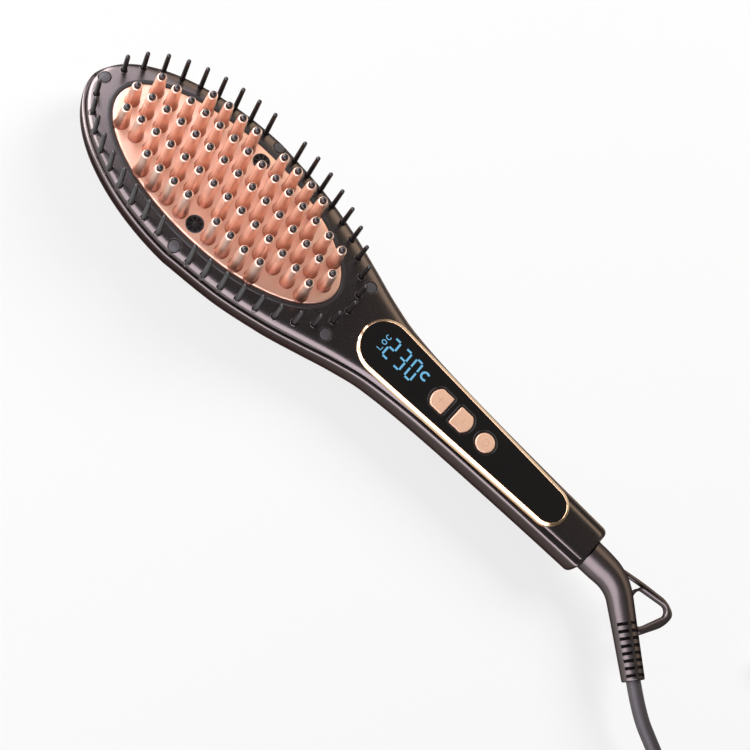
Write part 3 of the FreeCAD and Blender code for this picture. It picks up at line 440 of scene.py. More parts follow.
def stations(tip):
    angles = [90.0 * (k + 0.5) / shells["tipSteps"] for k in range(shells["tipSteps"])]
    xs = [tip * math.cos(math.radians(a)) for a in angles]
    straight = shells["end"] - shells["endRadius"]
    count = round(straight / shells["rowStep"])
    xs += [straight * k / count for k in range(count + 1)]
    return xs + [straight + shells["endRadius"] * math.sin(math.radians(a)) for a in range(15, 91, 15)]


def roundedSide(first, crowding, power):
    # A squarish quarter circle from this angle on, as shares of its width and height
    line = []
    for k in range(shells["around"] + 1):
        a = first + (math.pi / 2 - first) * (k / shells["around"]) ** crowding
        line.append((max(math.cos(a), 0.0) ** (2 / power), math.sin(a) ** (2 / power)))
    return line


def bothSides(x, line):
    # The line runs from the +y side to the middle and is mirrored
    return [place(x, y, z) for y, z in line] + [place(x, -y, z) for y, z in reversed(line[:-1])]


def frontRow(x):
    half = halfWidth(x, frontStep(x)) - endStep(x)
    low, base, rise = splitAt(x), shoulderAt(x), frontRise(x)
    r = min(shells["lipRadius"], half * shells["lipShare"])
    power = shells["topPower"]
    first = 0.0
    if rise > shells["leastRise"]:
        first = math.asin(min(max((low + r - base) / rise, 0.0), shells["highestLip"]) ** (power / 2))
    side = [(half * u, base + rise * v) for u, v in roundedSide(first, shells["topCrowding"], power)]
    edge = side[0][0]
    # the lip turns under: how far in and how high, in lip radii
    under = [(max(edge - back * r, 0.0), low + lift * r) for back, lift in ((3, 0.6), (1, 0), (0.3, 0.3))]
    return bothSides(x, under + side)


def backRow(x):
    half = halfWidth(x, 0.0) - endStep(x)
    down = bellyDepth(x) - endStep(x)
    if x < 0:
        down *= fade(x, shells["tip"], shells["bellyTipPower"])
    base = shoulderAt(x)
    rim = splitAt(x) - shells["groove"]
    r = min(rimRound(x), half * shells["rimShare"])
    up = max(topAt(x) + shells["sideOver"] - base, 1.0)
    # the side leans in a little between the shoulder and the rim
    edge = half * fade(min((rim - base) / up, shells["highestRim"]), 1, shells["rimPower"])
    ledge = shells["ledge"] + [(r + 0.3, -0.01), (r, 0)]
    line = [(max(edge - back, 0.0), rim + lift) for back, lift in ledge]
    line += onCircle(edge - r, rim - r, r, range(75, -1, -15))
    belly = roundedSide(0.0, shells["bellyCrowding"], shells["bellyPower"])
    return bothSides(x, line + [(half * u, base - down * v) for u, v in belly])


def makeShells():
    for name, node, row, tip in (("backShell", "back_shell", backRow, shells["tip"]),
                                 ("frontShell", "front_shell", frontRow, frontTip)):
        shape = Shape()
        shape.rows([row(x) for x in stations(tip)], False, (True, True))
        piece = shape.build(name, "brush", shellGloss, 50)
        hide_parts(node)


makeShells()
print("shells ready")

# Heating plate, its fins and their tips
plate = dict(
    halfLength=60.6, halfWidth=26.3, edge=-1.2, crown=2.2, edgeRadius=0.7, depth=1.6,
    finPitch=7.75, finStretch=0.000145, rowPitch=10.26, margin=3.2,
    finTop=22.3, fallX=0.00225, fallY=0.00564,
    # height over the plate and radius of a fin's foot
    flare=[(-0.5, 3.55), (0.0, 3.2), (0.25, 3.02), (0.7, 2.88), (1.6, 2.8), (3.2, 2.74), (5.5, 2.66)],
    shoulder=2.16, coneSteps=6, conePower=1.5, coneEnd=-1.3,
    # radius of a fin's head, and its level from the tip's seat
    head=[(2.11, -0.85), (2.02, -0.5), (1.86, -0.2), (1.66, -0.02), (1.55, 0.0), (1.5, -0.06), (1.48, -0.5)],
    widen=(0.98, 1.08),
    tipRadius=1.42, tipHeight=1.95, tipRoot=0.4,
    around=160, rings=14, centre=0.02, roll=(110, 135, 160, 180), rollLift=0.05,
)


def plateTop(x, y):
    share = (x / plate["halfLength"]) ** 2 + (y / plate["halfWidth"]) ** 2
    return plate["edge"] + plate["crown"] * (1 - min(share, 1.0))


def finPlaces():
    # Five rows; the outermost leave out their middle fin, where a grille is
    rows = {0: list(range(-7, 8))}
    rows[1] = rows[-1] = [i - 0.5 for i in range(-6, 8)]
    rows[2] = rows[-2] = [i for i in range(-4, 5) if i]
    found = []
    for row, steps in rows.items():
        for i in steps:
            x = i * plate["finPitch"] * (1 + plate["finStretch"] * i * i)
            room = 1 - (x / (plate["halfLength"] - plate["margin"])) ** 2
            limit = (plate["halfWidth"] - plate["margin"]) * math.sqrt(max(room, 0.0))
            y = math.copysign(min(abs(row) * plate["rowPitch"], limit), row) if row else 0.0
            found.append((x, y, plate["finTop"] - plate["fallX"] * x * x - plate["fallY"] * y * y))
    return found


def makePlate():
    shape = Shape()
    around = circle(0, 0, 1, plate["around"])
    long, wide, r = plate["halfLength"], plate["halfWidth"], plate["edgeRadius"]
    flat = 1 - r / wide
    rows = []
    for share in [plate["centre"]] + [flat * k / plate["rings"] for k in range(1, plate["rings"] + 1)]:
        ring = [(long * share * c, wide * share * s) for c, s in around]
        rows.append([place(x, y, plateTop(x, y)) for x, y in ring])
    edge = onCircle(r, plate["edge"] + plate["rollLift"] - r, r, plate["roll"])
    for inset, level in edge + [(0.0, plate["edge"] - plate["depth"])]:
        rows.append([place((long - inset) * c, (wide - inset) * s, level) for c, s in around])
    shape.rows(rows, True, (True, False))
    fins, tips = Shape(), Shape()
    tip = plate["tipRadius"]
    for x, y, top in finPlaces():
        ground = plateTop(x, y)
        seat = top - plate["tipHeight"]
        profile = [(radius, ground + height) for height, radius in plate["flare"]]
        first, foot = profile[-1]
        rise, narrowing = seat + plate["coneEnd"] - foot, plate["shoulder"] - first
        for k in range(1, plate["coneSteps"] + 1):
            share = k / plate["coneSteps"]
            profile.append((first + narrowing * share ** plate["conePower"], foot + rise * share))
        profile += [(radius, seat + level) for radius, level in plate["head"]]
        fins.turned(profile, x, y, 28, plate["widen"])
        dome = arc(0, top - tip, tip, 0, 75, 5)
        tips.turned([(tip, seat - plate["tipRoot"])] + dome + [(0.05, top)], x, y, 20)
    piece = shape.build("heatingPlate", "brush", roseGold, 75)
    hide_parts("heating_plate")
    fins.build("plateFins", "brush", roseFin, 75)
    piece = tips.build("finTips", "brush", tipGloss, 60)
    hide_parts("fin_tips")


makePlate()
print("plate ready")

# Two grilles in the plate. A profile laid on a surface lists radius and lift.
grille = dict(
    y=20.5,
    # painted shade: a flat dark disc just over the plate inside the rim, where the outlet's opening would be
    # dark
    well=[(0.1, 0.04), (3.76, 0.04)],
    rim=[(3.86, -0.3), (3.86, 0.15), (3.74, 0.27), (3.585, 0.3), (3.43, 0.26), (3.31, 0.14), (3.31, -0.3)],
    hub=[(1.05, -0.2), (1.05, 0.14), (0.8, 0.22), (0.1, 0.24)],
    spokes=8, spokeRadii=(0.85, 2.455, 3.41), spokeWidth=0.5, spokeLift=0.14,
)


def laidOn(level, shape, x, y, profile, steps):
    # A disc or ring that follows a surface, capped where its profile ends near the middle
    rows = [[place(px, py, level(px, py) + lift) for px, py in circle(x, y, radius, steps)]
            for radius, lift in profile]
    shape.rows(rows, True, [end[0] < 0.3 for end in (profile[0], profile[-1])])


def makeGrilles():
    wells = Shape()
    wide, lift = grille["spokeWidth"] / 2, grille["spokeLift"]
    for side, name in ((1, "left"), (-1, "right")):
        y = side * grille["y"]
        # painted shade of the outlet's opening, laid flat on the plate
        laidOn(plateTop, wells, 0, y, grille["well"], 40)
        shape = Shape()
        laidOn(plateTop, shape, 0, y, grille["rim"], 40)
        laidOn(plateTop, shape, 0, y, grille["hub"], 24)
        for k in range(grille["spokes"]):
            turn = 2 * math.pi * (k + 0.5) / grille["spokes"]
            c, s = math.cos(turn), math.sin(turn)
            rows = []
            for radius in grille["spokeRadii"]:
                edges = [(radius * c - wide * s * way, y + radius * s + wide * c * way) for way in (-1, 1)]
                a, b = [(px, py, plateTop(px, py)) for px, py in edges]
                rows.append([place(*a), place(*a[:2], a[2] + lift), place(*b[:2], b[2] + lift), place(*b)])
            shape.rows(rows)
        piece = shape.build("grille_" + name, "brush", pinGloss, 40)
        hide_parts("ion_outlet_" + name)
    wells.build("grilleWellShade", "brush", blackAndHoleShade)


makeGrilles()
print("grilles ready")

# Ring of smooth pins, painted shade where the holes they stand in would be, and the covers of the case screws
comb = dict(
    halfWidth=33.4, tipLength=68.6, neckLength=69.4, roundness=2.15, slots=20,
    tipRadius=0.94, top=15.5, fall=0.00115,
    stem=[(1.06, -6.0), (1.06, 2.0), (1.0282, 6.0)],
    # painted shade: flat dark rings laid just over the face round each pin and each screw cover, where holes
    # and grooves would be dark
    hole=[(0.2, 0.03), (1.45, 0.03)],
    lip=[(1.4, 0.0), (1.45, 0.14), (1.65, 0.14), (1.7, 0.0)],
    coverPlaces=[(-70.0, 0.0), (0.5, 32.4), (0.5, -32.4), (69.4, 14.7), (69.4, -14.7)],
    cover=[(0.1, 0.14), (2.1, 0.14), (2.35, 0.09), (2.45, -0.05)],
    coverGrooveShade=[(2.4, 0.03), (2.83, 0.03)],
    coverLip=[(2.8, 0.0), (2.88, 0.08), (3.18, 0.0)],
)


def combCurve(a):
    c, s = -math.cos(math.radians(a)), math.sin(math.radians(a))
    reach = comb["tipLength"] if c < 0 else comb["neckLength"]
    power = 2 / comb["roundness"]
    return reach * math.copysign(abs(c) ** power, c), comb["halfWidth"] * abs(s) ** power


def pinPlaces():
    # Equal steps along the curve from the tip to the neck, but for the places of two screws
    steps = 720
    points = [combCurve(180.0 * i / steps) for i in range(steps + 1)]
    lengths = [0.0]
    for p, q in zip(points, points[1:]):
        lengths.append(lengths[-1] + math.dist(p, q))
    found = []
    for k in range(1, comb["slots"] + 1):
        wanted = lengths[-1] * k / comb["slots"]
        x, y = points[min(range(steps + 1), key=lambda n: abs(lengths[n] - wanted))]
        if k == comb["slots"]:
            found.append((x, 0.0))
        elif k != comb["slots"] // 2:
            found += [(x, y), (x, -y)]
    return found


def makeComb():
    pins, holeShades, lips, covers = Shape(), Shape(), Shape(), Shape()
    r = comb["tipRadius"]
    for x, y in pinPlaces():
        top = comb["top"] - comb["fall"] * x * x
        pins.turned(comb["stem"] + onCircle(0, top - r, r, (0, 20, 40, 60, 78)), x, y, 20)
        # painted shade of the hole round the pin's foot, laid flat on the face
        laidOn(faceHeight, holeShades, x, y, comb["hole"], 28)
        laidOn(faceHeight, lips, x, y, comb["lip"], 28)
    for x, y in comb["coverPlaces"]:
        for shape, part in ((holeShades, "coverGrooveShade"), (covers, "cover"), (lips, "coverLip")):
            laidOn(faceHeight, shape, x, y, comb[part], 40)
    piece = pins.build("combPins", "brush", pinGloss, 60)
    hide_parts("comb_ring")
    holeShades.build("pinHoleShade", "brush", blackAndHoleShade)
    lips.build("holeLips", "brush", shellGloss, 80)
    piece = covers.build("screwCovers", "brush", plugMatt, 60)
    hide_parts("screw_plugs")


makeComb()
print("pins ready")

# Control panel. The trim's section lists how far inside its outline a point is, and its level.
panel = dict(
    headX=91.3, headRadius=13.1, tailX=185.5, tailRadius=9.3,
    trim=[(0.0, -4.6), (0.1, -3.85), (0.25, -3.25), (0.42, -2.98), (0.62, -2.82), (1.3, -2.42),
          (1.46, -2.3), (1.58, -2.22), (1.68, -2.26), (1.75, -2.45), (1.75, -3.4)],
    lensInset=1.8, lensEdge=0.1, lensTop=-2.8, lensBottom=-4.1,
    keyGap=0.85,
    # collar round each key: how far out from the gap, and how far over the window
    collar=[(0.45, 0.0), (0.38, 0.0), (0.28, 0.06), (0.18, 0.09), (0.08, 0.06), (0.0, -0.05)],
    wellGap=0.05, wellLift=0.4,
    sideSteps=24,
)


def slotOutline(inset):
    # Two round ends joined by the lines that touch both, a given distance inside the trim
    x0, r0 = panel["headX"], panel["headRadius"] - inset
    x1, r1 = panel["tailX"], panel["tailRadius"] - inset
    lean = math.degrees(math.asin((r0 - r1) / (x1 - x0)))
    head = arc(x0, 0, r0, 90 - lean, 270 + lean, 32)
    tail = arc(x1, 0, r1, -90 + lean, 90 - lean, 32)

    def between(a, b):
        shares = [k / panel["sideSteps"] for k in range(1, panel["sideSteps"])]
        return [(a[0] + (b[0] - a[0]) * share, a[1] + (b[1] - a[1]) * share) for share in shares]
    return head + between(head[-1], tail[0]) + tail + between(tail[-1], head[0])


def levelRing(outline, z):
    return [place(x, y, z) for x, y in outline]


keyNames = ("plus", "minus", "power")
keys = dict(
    halfWidth=4.6, bulge=2.4, plus=(126.8, 118.3), minus=(131.0, 139.8), power=(148.3, 4.3),
    top=-2.36, crown=0.05, base=-4.6, edge=0.42, corner=0.7, leastCorner=0.25,
    rim=0.08,  # flat strip between the rounded edge and the crown
    symbolStroke=0.36, symbolReach=1.45, symbolSunk=0.05, symbolProud=0.012, crossProud=0.002,
    ringArc=(220, 500), bar=(1.2, 0.1),  # degrees, and shares of the symbol's reach
)


def keyOutline(name, inset):
    # The plus and minus keys have one flat end and one bulging end
    if name == "power":
        x, radius = keys["power"]
        return circle(x, 0, radius - inset, 64)
    flat, nose = keys[name]
    way, long = (1 if nose > flat else -1), abs(nose - flat)
    half = keys["halfWidth"] - inset
    bow = (keys["halfWidth"] ** 2 + keys["bulge"] ** 2) / (2 * keys["bulge"])
    spread = math.degrees(math.asin(half / (bow - inset)))
    corner = max(keys["corner"] - inset, keys["leastCorner"])
    line = arc(long - bow, 0, bow - inset, -spread, spread, 36)
    line += arc(inset + corner, half - corner, corner, 90, 180, 6)
    line += arc(inset + corner, -half + corner, corner, 180, 270, 6)
    return [(flat + way * u, v) for u, v in line]


def makePanel():
    shape = Shape()
    shape.rows([levelRing(slotOutline(inset), z) for inset, z in panel["trim"]])
    piece = shape.build("trimRing", "brush", paleGold, 60)
    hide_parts("trim_ring")
    shape = Shape()
    top, low, gap = panel["lensTop"], panel["lensBottom"], panel["keyGap"]
    outer, side = slotOutline(panel["lensInset"] + panel["lensEdge"]), slotOutline(panel["lensInset"])
    shape.rows([levelRing(outer, top), levelRing(side, top), levelRing(side, low)])
    collar = [(reach, top + z) for reach, z in panel["collar"]] + [(0.0, low)]
    wells = []
    for name in keyNames:
        wells.append(keyOutline(name, -gap - collar[0][0]))
        shape.rows([levelRing(keyOutline(name, -gap - reach), z) for reach, z in collar])
    shape.filled([outer] + wells, top)
    piece = shape.build("panelWindow", "brush", lensGloss, 50)
    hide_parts("panel_lens")
    # painted shade: a near-black floor in the gap round each key, where the well would be dark
    shape = Shape()
    for name in keyNames:
        shape.filled([keyOutline(name, -gap - panel["wellGap"])], low + panel["wellLift"])
    shape.build("keyWellShade", "brush", blackAndHoleShade)


def makeKeys():
    r, top = keys["edge"], keys["top"]
    reach, stroke = keys["symbolReach"], keys["symbolStroke"]
    for name in keyNames:
        shape = Shape()
        rows = [levelRing(keyOutline(name, 0.0), keys["base"])]
        rows += [levelRing(keyOutline(name, inset), level) for inset, level in arc(r, top - r, r, 180, 90, 6)]
        inner = keyOutline(name, r + keys["rim"])
        rows.append(levelRing(inner, top))
        middle = keys["power"][0] if name == "power" else sum(keys[name]) / 2
        for share in (0.75, 0.5, 0.25):
            level = top + keys["crown"] * (1 - share ** 2)
            rows.append([place(middle + (x - middle) * share, y * share, level) for x, y in inner])
        shape.rows(rows, True, (False, True))
        key = shape.build(name + "Key", name + "_key", roseButton, 50)
        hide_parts(name + "_button")
        # Symbols: strokes from just under the key's top to just over its crown, their darker colour painted
        # shade of an engraving
        mark = Shape()
        low, high = top - keys["symbolSunk"], top + keys["crown"] + keys["symbolProud"]
        if name == "power":
            mark.ribbon(arc(middle, 0, reach, *keys["ringArc"], 28), stroke, low, high)
            mark.ribbon([(middle - reach * end, 0) for end in keys["bar"]], stroke, low, high)
        else:
            mark.ribbon([(middle, -reach), (middle, reach)], stroke, low, high)
        if name == "plus":
            mark.ribbon([(middle - reach, 0), (middle + reach, 0)], stroke, low, high + keys["crossProud"])
        mark.build(name + "Mark", name + "_key", roseGrooveShade)


makePanel()
makeKeys()
print("panel and keys ready")

# Lit cells behind the window: three figures, the unit, and the word beside them
display = dict(
    raised=0.03,
    figures=[("2", 93.2), ("3", 99.5), ("0", 105.8)],
    width=3.3, height=9.6, middle=1.35, stroke=0.88, slant=-0.05, gap=0.42,
    unit=(111.2, 2.8), unitRadius=1.75, unitStroke=0.92, unitArc=(48, 312),
    word=(88.0, 90.1), wordStroke=0.4, letterWidth=1.75, letters=(-1.7, 1.3, 4.2),
    letterArcs=((0, 345, 23), (132, 408, 18)),  # start, end and steps of the two round letters
)
cellsOf = {"2": "abged", "3": "abgcd", "0": "abcdef"}


def makeDisplay():
    lit = Shape()
    low = panel["lensTop"]
    high = low + display["raised"]
    w, h, g = display["width"] / 2, display["height"] / 2, display["gap"]
    u, v = w - g, h - g
    cells = dict(a=((-u, h), (u, h)), b=((w, v), (w, g)), c=((w, -g), (w, -v)), d=((-u, -h), (u, -h)),
                 e=((-w, -g), (-w, -v)), f=((-w, v), (-w, g)), g=((-u, 0), (u, 0)))
    for figure, middle in display["figures"]:
        for cell in cellsOf[figure]:
            lit.ribbon([(middle + x + display["slant"] * y, display["middle"] + y) for x, y in cells[cell]],
                       display["stroke"], low, high)
    unit = arc(*display["unit"], display["unitRadius"], *display["unitArc"], 20)
    lit.ribbon(unit, display["unitStroke"], low, high)
    x0, x1 = display["word"]
    half, stroke = display["letterWidth"] / 2, display["wordStroke"]
    first = display["letters"][0]
    lit.ribbon([(x0, first - half), (x1, first - half), (x1, first + half)], stroke, low, high)
    middle, reach = (x0 + x1) / 2, (x1 - x0) / 2
    for letter, sweep, loop in zip(display["letters"][1:], display["letterArcs"], (True, False)):
        line = [(middle + x * reach, letter + y * half) for x, y in arc(0, 0, 1, *sweep)]
        lit.ribbon(line, stroke, low, high, loop)
    lit.build("litCells", "brush", blueGlow)


makeDisplay()
print("display ready")

# Bend relief with its hanging loop; both turn with the lead
relief = dict(
    start=212.3, level=-11.8, radius=7.15, endRadius=4.9,
    straight=10.0, turn=41.0, bendRadius=20.0, taper=34.0, straightSteps=4, bendSteps=12,
    evenLength=4.0,  # it keeps its full radius this far
    bendRadiusLoss=1.35,  # how much thinner it is by the end of the bend
    innerRadii=(4.5, 2.4),  # of the flat ends
    slots=8, slotPitch=3.05, slotWidth=1.4, slotFirst=2.1, slotFloor=0.34,
    # across the top, as shares of the radius: the spine, the slots, the rails
    shares=(0.0, 0.06, 0.1, 0.105, 0.25, 0.4, 0.55, 0.7, 0.83, 0.835, 0.9, 0.95, 0.985),
    slotSpan=(0.102, 0.832), slotWall=0.01,
    edge=0.5,
    loopOuter=[(226.0, 5.6), (238.4, 7.8), (251.4, 9.3), (257.6, 6.4), (257.0, -0.6), (250.2, -12.4),
               (240.0, -6.0)],
    loopHole=[(238.4, 0.4), (239.4, 4.4), (252.4, 6.5), (254.4, 3.8), (249.0, -8.0), (246.0, -9.4)],
    loopThickness=4.0, loopEdge=1.3, loopStep=0.05, outerBends=3.0, holeBends=1.7,
)


def reliefAt(s):
    # Place and heading of the relief's middle line at a distance along it
    start, straight, r = relief["start"], relief["straight"], relief["bendRadius"]
    turn = math.radians(relief["turn"])
    if s <= straight:
        return start + s, 0.0, 0.0
    a = min((s - straight) / r, turn)
    x = start + straight + r * math.sin(a)
    y = -r * (1 - math.cos(a))
    over = max(s - straight - r * turn, 0.0)
    return x + over * math.cos(a), y - over * math.sin(a), -a


def reliefRow(s, radius, cut=False):
    # A cut row has its slots sunk to their floor, on both faces
    x, y, heading = reliefAt(s)
    shares, (spine, rail) = relief["shares"], relief["slotSpan"]
    across = list(reversed(shares)) + [-c for c in shares[1:]]
    line = [(1.0, 0.0)] + [(c, 1) for c in across] + [(-1.0, 0.0)] + [(-c, -1) for c in across]
    row = []
    for c, way in line:
        up = math.sqrt(max(1 - c * c, 0.0)) * way
        if cut and way and spine < abs(c) < rail:
            up = relief["slotFloor"] * way
        side, lift = radius * c, radius * up
        row.append(place(x - side * math.sin(heading), y + side * math.cos(heading), relief["level"] + lift))
    return row


def roundedOutline(points, reach, steps=7):
    # The corners become arcs that start this far from each corner, or at the middle of a short side
    line = []
    for k, p in enumerate(points):
        p = Vector(p)
        before, after = Vector(points[k - 1]) - p, Vector(points[(k + 1) % len(points)]) - p
        a = p + before.normalized() * min(reach, before.length * 0.49)
        b = p + after.normalized() * min(reach, after.length * 0.49)
        for n in range(steps + 1):
            t = n / steps
            line.append(tuple(a * (1 - t) ** 2 + p * 2 * t * (1 - t) + b * t * t))
    return line


def offsetOutline(points, step):
    # Moved inwards (for a counterclockwise outline) by a small step
    area = sum(p[0] * q[1] - q[0] * p[1] for p, q in zip(points, points[1:] + points[:1]))
    way = 1 if area > 0 else -1
    line = []
    for k, p in enumerate(points):
        a, b = points[k - 1], points[(k + 1) % len(points)]
        run = math.dist(a, b)
        line.append((p[0] - way * (b[1] - a[1]) / run * step, p[1] + way * (b[0] - a[0]) / run * step))
    return line


def makeRelief():
    shape = Shape()
    bend = relief["bendRadius"] * math.radians(relief["turn"])
    straight, full, wall = relief["straight"], relief["radius"], relief["slotWall"]
    taperStart = straight + bend
    whole = taperStart + relief["taper"]
    radiusAt = smoothCurve([(0.0, full), (relief["evenLength"], full),
                            (taperStart, full - relief["bendRadiusLoss"]), (whole, relief["endRadius"])])
    r = relief["edge"]
    # distance back from the far end and the radius there; the near end is a plain cone
    end = [(back, radius) for radius, back in arc(relief["endRadius"] - r, r, r, 0, -90, 3)]
    a, b = relief["straightSteps"], relief["bendSteps"]
    marks = [(straight * k / a, False) for k in range(1, a + 1)]
    marks += [(straight + bend * k / b, False) for k in range(1, b + 1)]
    for k in range(relief["slots"]):
        middle = whole - relief["slotFirst"] - k * relief["slotPitch"]
        a, b = middle - relief["slotWidth"] / 2, middle + relief["slotWidth"] / 2
        marks += [(a, False), (a + wall, True), (b - wall, True), (b, False)]
    marks.sort(key=lambda mark: mark[0])
    rows = [reliefRow(0.0, relief["innerRadii"][0])] + [reliefRow(back, full - back) for back, radius in end]
    rows += [reliefRow(s, radiusAt(s), cut) for s, cut in marks if s > r]
    rows += [reliefRow(whole - back, radius) for back, radius in end]
    rows.append(reliefRow(whole, relief["innerRadii"][1]))
    shape.rows(rows, True, (True, True))
    outer = roundedOutline(relief["loopOuter"], relief["outerBends"])
    hole = roundedOutline(relief["loopHole"], relief["holeBends"])
    level, half, edge = relief["level"], relief["loopThickness"] / 2, relief["loopEdge"]
    inside = edge + relief["loopStep"]
    faces = []
    for outline, way in ((outer, 1), (hole, -1)):
        face = offsetOutline(outline, way * inside)
        faces.append(face)
        rows = [levelRing(face, level - half)]
        for turn in range(-90, 91, 30):
            a = math.radians(turn)
            flat = math.copysign(half - edge, turn) if turn else 0.0
            rows.append(levelRing(offsetOutline(outline, way * edge * (1 - math.cos(a))),
                                  level + flat + edge * math.sin(a)))
        shape.rows(rows + [levelRing(face, level + half)])
    for side in (-half, half):
        shape.filled(faces, level + side)
    piece = shape.build("bendRelief", "swivel", reliefSatin, 45)
    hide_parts("cord_boot")


makeRelief()
print("bend relief ready")

# The camera stands over the -y side of the handle
view = dict(
    eye=(84.4, -266.4, 604.9),
    aim=(95.6, -13.5, 0.0),
    up=(-0.6935, 0.6692, 0.2669),  # what points up in the picture
    lens=76.8, clip=(0.01, 50.0),
)


def makeCamera():
    data = bpy.data.cameras.new("camera")
    data.lens = view["lens"]
    data.clip_start, data.clip_end = view["clip"]
    camera = addObject("camera", data)
    eye = place(*view["eye"])
    back = (eye - place(*view["aim"])).normalized()
    right = Vector(view["up"]).cross(back).normalized()
    up = back.cross(right)
    camera.matrix_world = Matrix.Translation(eye) @ Matrix((right, up, back)).transposed().to_4x4()
    bpy.context.scene.camera = camera


studio = dict(
    floorSize=60.0,
    floorColour=rgba(0.9, 0.9, 0.905),
    floorWhite=0.6,  # how far the floor is lifted to white where it is seen
    floorFibre=0.99,  # how dark the paper's fibres are, as a share of its colour
    world=0.12, worldColour=rgba(0.97, 0.97, 1.0),
    lamps=[
        # name, place in metres from the middle of the brush, size, strength, colour, seen in gloss, shadow
        ("keyLamp", (0.3, 1.3, 1.1), (0.9, 0.9), 18.0, (1.0, 0.99, 0.975), False, True),
        ("leftLamp", (-1.95, -0.95, 1.25), (0.8, 0.8), 72.0, (1.0, 0.985, 0.975), False, False),
        ("topCard", (-0.82, 0.3, 0.98), (1.3, 0.9), 12.0, (0.93, 0.88, 1.0), True, True),
        ("sideCard", (0.15, -1.1, 0.75), (2.6, 1.4), 52.0, (0.93, 0.87, 1.0), True, True),
        ("leftCard", (-1.2, -0.1, 0.45), (1.7, 0.8), 42.0, (0.97, 0.93, 1.0), True, True),
        ("warmCard", (0.2, 1.2, 0.7), (2.0, 0.8), 8.5, (1.0, 0.8, 0.6), True, True),
    ],
)


def makeFloor():
    size = studio["floorSize"] / 2
    corners = [(-size, -size, 0), (size, -size, 0), (size, size, 0), (-size, size, 0)]
    mesh = bpy.data.meshes.new("floor")
    mesh.from_pydata(corners, [], [(0, 1, 2, 3)])
    floor = addObject("floor", mesh)
    finish = Finish("floorPaper", {"Roughness": 0.9, "Specular IOR Level": 0.1})
    fibre = finish.noise(*slow["fibre"])
    pale = studio["floorColour"]
    finish.feed("Base Color", finish.between(fibre, pale, dimmed(pale, studio["floorFibre"])))
    rays = [finish.add("ShaderNodeLightPath", {}, {}, out=k)
            for k in ("Is Camera Ray", "Is Glossy Ray", "Is Transmission Ray")]
    seen = rays[0] + rays[1] + rays[2]
    white = finish.add("ShaderNodeEmission", {}, {"Color": rgba(1, 1, 1), "Strength": 1.0})
    base = Sock(finish, finish.shader.outputs[0])
    mixed = finish.add("ShaderNodeMixShader", {}, {0: seen * studio["floorWhite"], 1: base, 2: white})
    finish.plug(finish.tree.nodes["Material Output"].inputs["Surface"], mixed)
    mesh.materials.append(finish.data)


def makeLight():
    world = bpy.data.worlds.new("studio")
    world.use_nodes = True
    soft = world.node_tree.nodes["Background"]
    soft.inputs["Color"].default_value = studio["worldColour"]
    soft.inputs["Strength"].default_value = studio["world"]
    bpy.context.scene.world = world
    for name, spot, size, strength, colour, inGloss, shadow in studio["lamps"]:
        data = bpy.data.lights.new(name, "AREA")
        data.shape, data.size, data.size_y = "RECTANGLE", *size
        data.energy, data.color, data.use_shadow = strength, colour, shadow
        lamp = addObject(name, data)
        lamp.location = spot
        lamp.rotation_euler = Vector(spot).to_track_quat("Z", "Y").to_euler()
        lamp.visible_camera = False
        lamp.visible_diffuse, lamp.visible_glossy = not inGloss, inGloss
    bpy.context.scene.view_settings.view_transform = "Standard"


makeCamera()
makeFloor()
makeLight()
print("camera, floor and light ready")

# Mains lead: a free run, a coil and the way back to the plug
lead = dict(
    radius=3.1,
    exit=(261.1, -27.2, -11.8),
    # from the bend relief to the coil
    route=[(271.5, -36.0, -12.2), (284.5, -41.6, -13.6), (300.0, -47.4, -17.2),
           (319.0, -55.0, -22.2), (337.5, -63.0, -24.4)],
    # from the coil to the plug
    tail=[(417.3, -13.5, -19.2), (413.0, 3.0, -23.4), (402.5, 16.5, -24.3),
          (388.0, 24.5, -22.8), (371.5, 27.0, -21.0)],
    coilCentre=(372.0, -30.0),
    coilRadius=35.0,
    columns=4,
    entryAngle=-113.0,
    turns=7,  # whole turns after the lead has come round to the tail's side
    pointsPerTurn=16,
    seatLength=335.0,  # degrees that each seat in the coil lasts
    firstMove=200.0,  # degrees from the entry to the first change of seat
    moveLength=42.0,
    realLength=1.8,
)


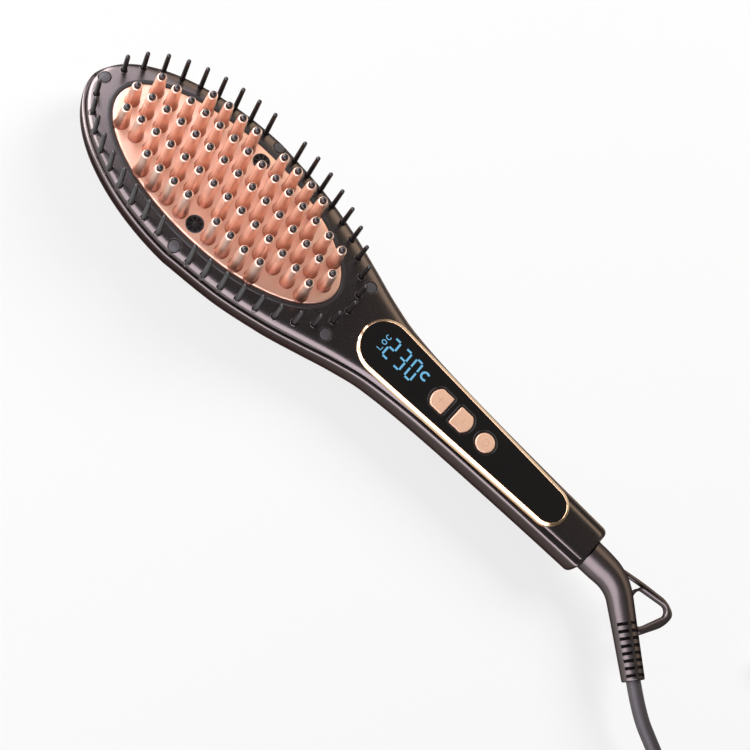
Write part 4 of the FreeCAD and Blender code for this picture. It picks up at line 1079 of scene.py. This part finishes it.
def coilPoints():
    # The lower layer winds inwards and the upper one outwards, each seat a lead's width from the next
    width = 2 * lead["radius"]
    half = (lead["columns"] - 1) / 2
    lower = [(half - k, 0) for k in range(lead["columns"])]
    seats = lower + [(column, 1) for column, row in reversed(lower)]
    total = 360.0 * lead["turns"] - lead["entryAngle"]
    count = round(total / 360.0 * lead["pointsPerTurn"])
    points = []
    for k in range(count + 1):
        turned = total * k / count
        moves = (turned - lead["firstMove"]) / lead["seatLength"]
        seat = min(max(math.floor(moves) + 1, 0), len(seats) - 1)
        share = min(moves % 1 * lead["seatLength"] / lead["moveLength"], 1.0) if moves >= 0 else 1.0
        ease = share * share * (3 - 2 * share)
        column, row = [a + (b - a) * ease for a, b in zip(seats[max(seat - 1, 0)], seats[seat])]
        radius = lead["coilRadius"] + column * width
        spot = onCircle(*lead["coilCentre"], radius, [lead["entryAngle"] + turned])[0]
        points.append((*spot, lead["radius"] - 1000 * layout["level"] + row * width))
    return points


def makeLead(strap):
    route = [lead["exit"]] + lead["route"] + coilPoints() + lead["tail"]
    curve = bpy.data.curves.new("mainsLead", "CURVE")
    curve.dimensions = "3D"
    curve.bevel_depth = lead["radius"] / 1000
    curve.bevel_resolution = 5
    curve.resolution_u = 6
    curve.use_fill_caps = True
    spline = curve.splines.new("NURBS")
    spline.points.add(len(route) - 1)
    for point, spot in zip(spline.points, route):
        point.co = (*place(*spot), 1.0)
    spline.order_u = 3
    spline.use_endpoint_u = True
    curve.materials.append(rubber.data)
    cord = addObject("mainsLead", curve)
    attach(cord, "swivel")
    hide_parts("cord_tube", "cord_coil", "cord_tail")
    place(*lead["exit"])


# Strap over the coil
tie = dict(x=336.8, y=-30.0, width=9.0, halfSpan=12.7, height=12.6, corner=3.2, thick=0.9)


def makeTie():
    half, y, floor = tie["width"] / 2, tie["y"], -1000 * layout["level"]

    def bridge(step):
        r = tie["corner"] + step
        side, high = tie["halfSpan"] + step, tie["height"] + step
        line = [(side, 0.0)] + arc(side - r, high - r, r, 0, 90, 8) + arc(r - side, high - r, r, 90, 180, 8)
        return [(tie["x"] + u, floor + w) for u, w in line + [(-side, 0.0)]]
    shape = Shape()
    under, over = bridge(0.0), bridge(tie["thick"])
    shape.rows([[place(a, y - half, b), place(a, y + half, b), place(c, y + half, d), place(c, y - half, d)]
                for (a, b), (c, d) in zip(under, over)], True, (True, True))
    piece = shape.build("leadTie", "swivel", strapWeave, 50)
    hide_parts("cord_tie")
    return piece


makeLead(makeTie())
print("lead ready")
